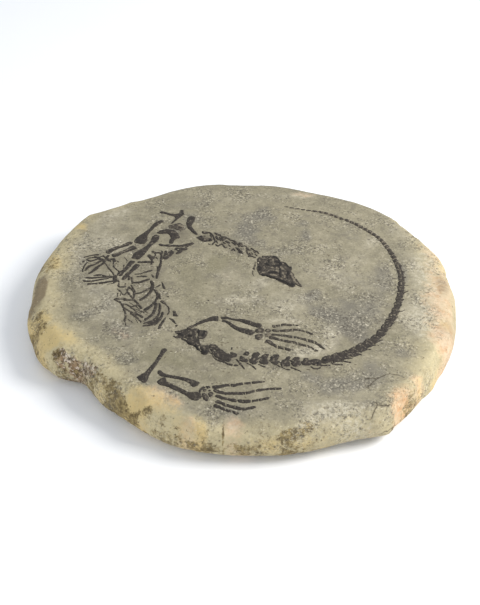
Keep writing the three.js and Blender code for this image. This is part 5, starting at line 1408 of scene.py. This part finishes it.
def add_bone(name, detail, seed, node=None):
    """A bone's relief over its CAD outline, or a loose one that is only drawn."""
    loops = foot_loops(node) if node and not detail.get("own") else []
    loops = [loop + np.array(detail.get("shift", (0, 0))) for loop in loops]
    drawing = Drawing(*reach_of(detail, loops))
    if loops:
        drawing.shape(loops)
    drawing.far -= THICKNESS + share_for(THICKER, name)
    draw(drawing, detail)
    if name in TOE_JOINTS:
        cut_joints(drawing, TOE_JOINTS[name])
    drawing.roughen(TAIL_RAGGED if name.startswith("tail") else BONE_RAGGED, 100 + seed)
    title = name + "_relief" if node else name
    piece = relief_piece(title, drawing, seed, share_for(FAINT, name))
    if node:
        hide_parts(node)


def along(line, big_pitch, small_pitch):
    """Places, directions and half widths of the vertebrae along a smooth line."""
    curve = catmull(line, TAIL_SAMPLES)
    steps = np.hypot(*np.diff(curve[:, :2], axis=0).T)
    length = np.concatenate([[0], np.cumsum(steps)])
    middle = length[np.argmax(curve[:, 1] > SMALL_VERTEBRAE_FROM)]
    big = np.arange(big_pitch / 2, middle, big_pitch)
    at = np.concatenate([big, np.arange(middle, length[-1], small_pitch)])
    values = np.stack([np.interp(at, length, curve[:, k]) for k in range(3)], 1)
    ahead = np.stack([np.interp(at + 1, length, curve[:, k]) for k in range(2)], 1)
    ways = ahead - values[:, :2]
    ways /= np.maximum(np.linalg.norm(ways, axis=1), 1e-9)[:, None]
    return values, ways


def spined_vertebra(drawing, random, at, half, notched):
    """A body with spines turned outwards and inwards at both ends."""
    drawing.stroke([at(-3.2, -0.4, half * 0.55), at(0, -0.3, half * 0.66), at(2.8, -0.5, half * 0.5)])
    drawing.stroke([at(-0.4, half - 1.6, 1), at(2.2, half - 0.8, 0.8), at(4, half - 0.4, 0.5)])
    drawing.stroke([at(-0.6, 0.8, 1), at(-3, half - 0.9, 0.7)])
    drawing.stroke([at(-1, -half + 1, 0.9), at(1.8, -half + 0.5, 0.7), at(3.2, -half - 0.4, 0.4)])
    drawing.stroke([at(-1.4, -half + 1.4, 0.7), at(-2.8, -half + 0.7, 0.5)])
    if notched:
        drawing.cut([at(3.1, half * 0.55, 0.5), at(4.3, half * 0.55, 0.4)])
    drawing.mark([at(1, 0.4, 0.5), at(-1, 0.2, 0.4)], random.uniform(0, 0.7))
    drawing.mark([at(2.6, half, 0.3), at(3.6, -half * 0.4, 0.3)], 0.6)


def plain_vertebra(drawing, random, at, half):
    """A waistless body with a notch and a short spine inwards."""
    drawing.stroke([at(-3.7, 0, half * 0.85), at(0, 0, half), at(3.6, 0, half * 0.85)])
    drawing.cut([at(3.6, half + 0.8, 0.2), at(3.3, 0.9, 0.3)])
    drawing.mark([at(-1.6, 0.2, 0.25), at(2.2, -0.1, 0.3)], 0.8)
    drawing.mark([at(3.8, half, 0.3), at(3.4, -half, 0.3)], 0.7)
    drawing.stroke([at(1, -half + 0.3, 0.5), at(2, -half - random.uniform(0.2, 1.3), 0.3)])


def small_vertebra(drawing, at, half):
    drawing.stroke([at(-1.9, -0.1, half * 0.8), at(0, 0, half), at(1.7, 0.2, half * 0.75)])
    drawing.cut([at(1.2, half + 0.5, 0.3), at(2.9, -half * 0.3, 0.22)])
    drawing.mark([at(1.2, half, 0.35), at(3, -half, 0.35)], 0.8)


def tail_vertebra(drawing, random, x, y, half, way):
    """One vertebra of the tail, drawn in its own axes: forwards along the tail and inwards."""
    ux, uy = way

    def at(forward, inward, width):
        inward = inward + random.uniform(-TAIL_UNEVEN, TAIL_UNEVEN)
        return x + forward * ux - inward * uy, y + forward * uy + inward * ux, width

    if y < SPINES_UP_TO:
        spined_vertebra(drawing, random, at, half, notched=x > NOTCHED_BEYOND)
    elif y < SMALL_VERTEBRAE_FROM:
        plain_vertebra(drawing, random, at, half)
    elif half > THREAD_THIN:
        small_vertebra(drawing, at, half)
    else:
        drawing.stroke([at(-1.3, -0.1, half * 0.6), at(1.1, 0.3, half * 0.8)])


def tail_row_of(y):
    """Which CAD row of tail vertebrae a place belongs to."""
    return sum(y >= end for end in TAIL_ROW_ENDS)


def add_tail():
    random = np.random.default_rng(17)
    values, ways = along(TAIL_LINE, TAIL_PITCH, SMALL_PITCH)
    for row, node in enumerate(TAIL_ROWS):
        detail = TAIL_TRACED if row == 0 else {}
        mine = [(v, w) for v, w in zip(values, ways) if tail_row_of(v[1]) == row]
        low, high = reach_of(detail, [[tuple(v[:2]) for v, _ in mine]])
        drawing = Drawing(low - TAIL_MARGIN, high + TAIL_MARGIN)
        draw(drawing, detail)
        drawing.far -= TAIL_THICKER
        for (x, y, half), way in mine:
            tail_vertebra(drawing, random, x, y, half, way)
        drawing.far -= TAIL_THICKER
        drawing.roughen(TAIL_RAGGED, 400 + row)
        piece = relief_piece(f"{node}_relief", drawing, 50 + row, TAIL_FAINT[row])
        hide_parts(node)


def add_bones():
    nodes = sorted(set(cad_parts) - {"matrix_slab", *TAIL_ROWS})
    for seed, node in enumerate(nodes):
        add_bone(node, DETAILS.get(node, {}), seed, node)
    for seed, (name, detail) in enumerate(LOOSE.items()):
        add_bone(name, detail, 200 + seed)
    add_tail()


add_bones()


# Camera, light and floor
CAMERA_ELEVATION = math.radians(38)
CAMERA_DISTANCE = 825.0
CAMERA_TARGET = (-3.0, -20.0, 34.0)
FOCAL_PIXELS = 1100.0
PICTURE_HEIGHT = 605
SENSOR = 36.0
SKY = (0.88, 0.93, 1.0, 1.0)
SKY_STRENGTH = 0.73
FLOOR_HALF_SIDE = 4000.0
PAPER = (0.93, 0.93, 0.935, 1)
PAPER_LIGHT = (0.95, 0.95, 0.95, 1)
# Lights: place and size in metres, power in watts, colour
LIGHTS = {
    "key": ((1.12, -0.02, 0.93), 0.8, 22.0, (1.0, 0.985, 0.96)),
    "fill": ((-1.1, -1.2, 0.55), 1.8, 6.0, (1.0, 1.0, 1.0)),
}


def add_camera():
    data = bpy.data.cameras.new("camera")
    data.sensor_width = SENSOR
    data.lens = FOCAL_PIXELS * SENSOR / PICTURE_HEIGHT
    data.clip_start = 0.01
    camera = bpy.data.objects.new("camera", data)
    bpy.context.scene.collection.objects.link(camera)
    back = CAMERA_DISTANCE * math.cos(CAMERA_ELEVATION)
    rise = CAMERA_DISTANCE * math.sin(CAMERA_ELEVATION)
    x, y, z = CAMERA_TARGET
    camera.location = (x * MM, (y - back) * MM, (z + rise) * MM)
    camera.rotation_euler = (math.pi / 2 - CAMERA_ELEVATION, 0, 0)
    bpy.context.scene.camera = camera


def add_area_light(name, place, size, power, colour):
    data = bpy.data.lights.new(name, "AREA")
    data.shape = "DISK"
    data.size = size
    data.energy = power
    data.color = colour
    light = bpy.data.objects.new(name, data)
    bpy.context.scene.collection.objects.link(light)
    light.location = place
    x, y, z = place
    light.rotation_euler = (math.atan2(math.hypot(x, y), z), 0, math.atan2(y, x) + math.pi / 2)


def add_world():
    world = bpy.data.worlds.new("studio")
    world.use_nodes = True
    background = world.node_tree.nodes["Background"]
    background.inputs["Color"].default_value = SKY
    background.inputs["Strength"].default_value = SKY_STRENGTH
    bpy.context.scene.world = world
    bpy.context.scene.view_settings.view_transform = "Standard"


def add_floor():
    n = Nodes("paper", 0.9)
    n.colour = n.mix(n.noise(120.0, 2.0), PAPER, PAPER_LIGHT)
    n.finish(n.bump(n.noise(2.0), 0.05, 0.05), n.step(n.noise(9.0), 0.3, 0.7, 0.85, 0.95))
    side = FLOOR_HALF_SIDE
    corners = [(-side, -side, 0), (side, -side, 0), (side, side, 0), (-side, side, 0)]
    floor = new_object("floor", corners, [[0, 1, 2, 3]], n.material, smooth=False)


add_camera()
for light, values in LIGHTS.items():
    add_area_light(light, *values)
add_world()
add_floor()
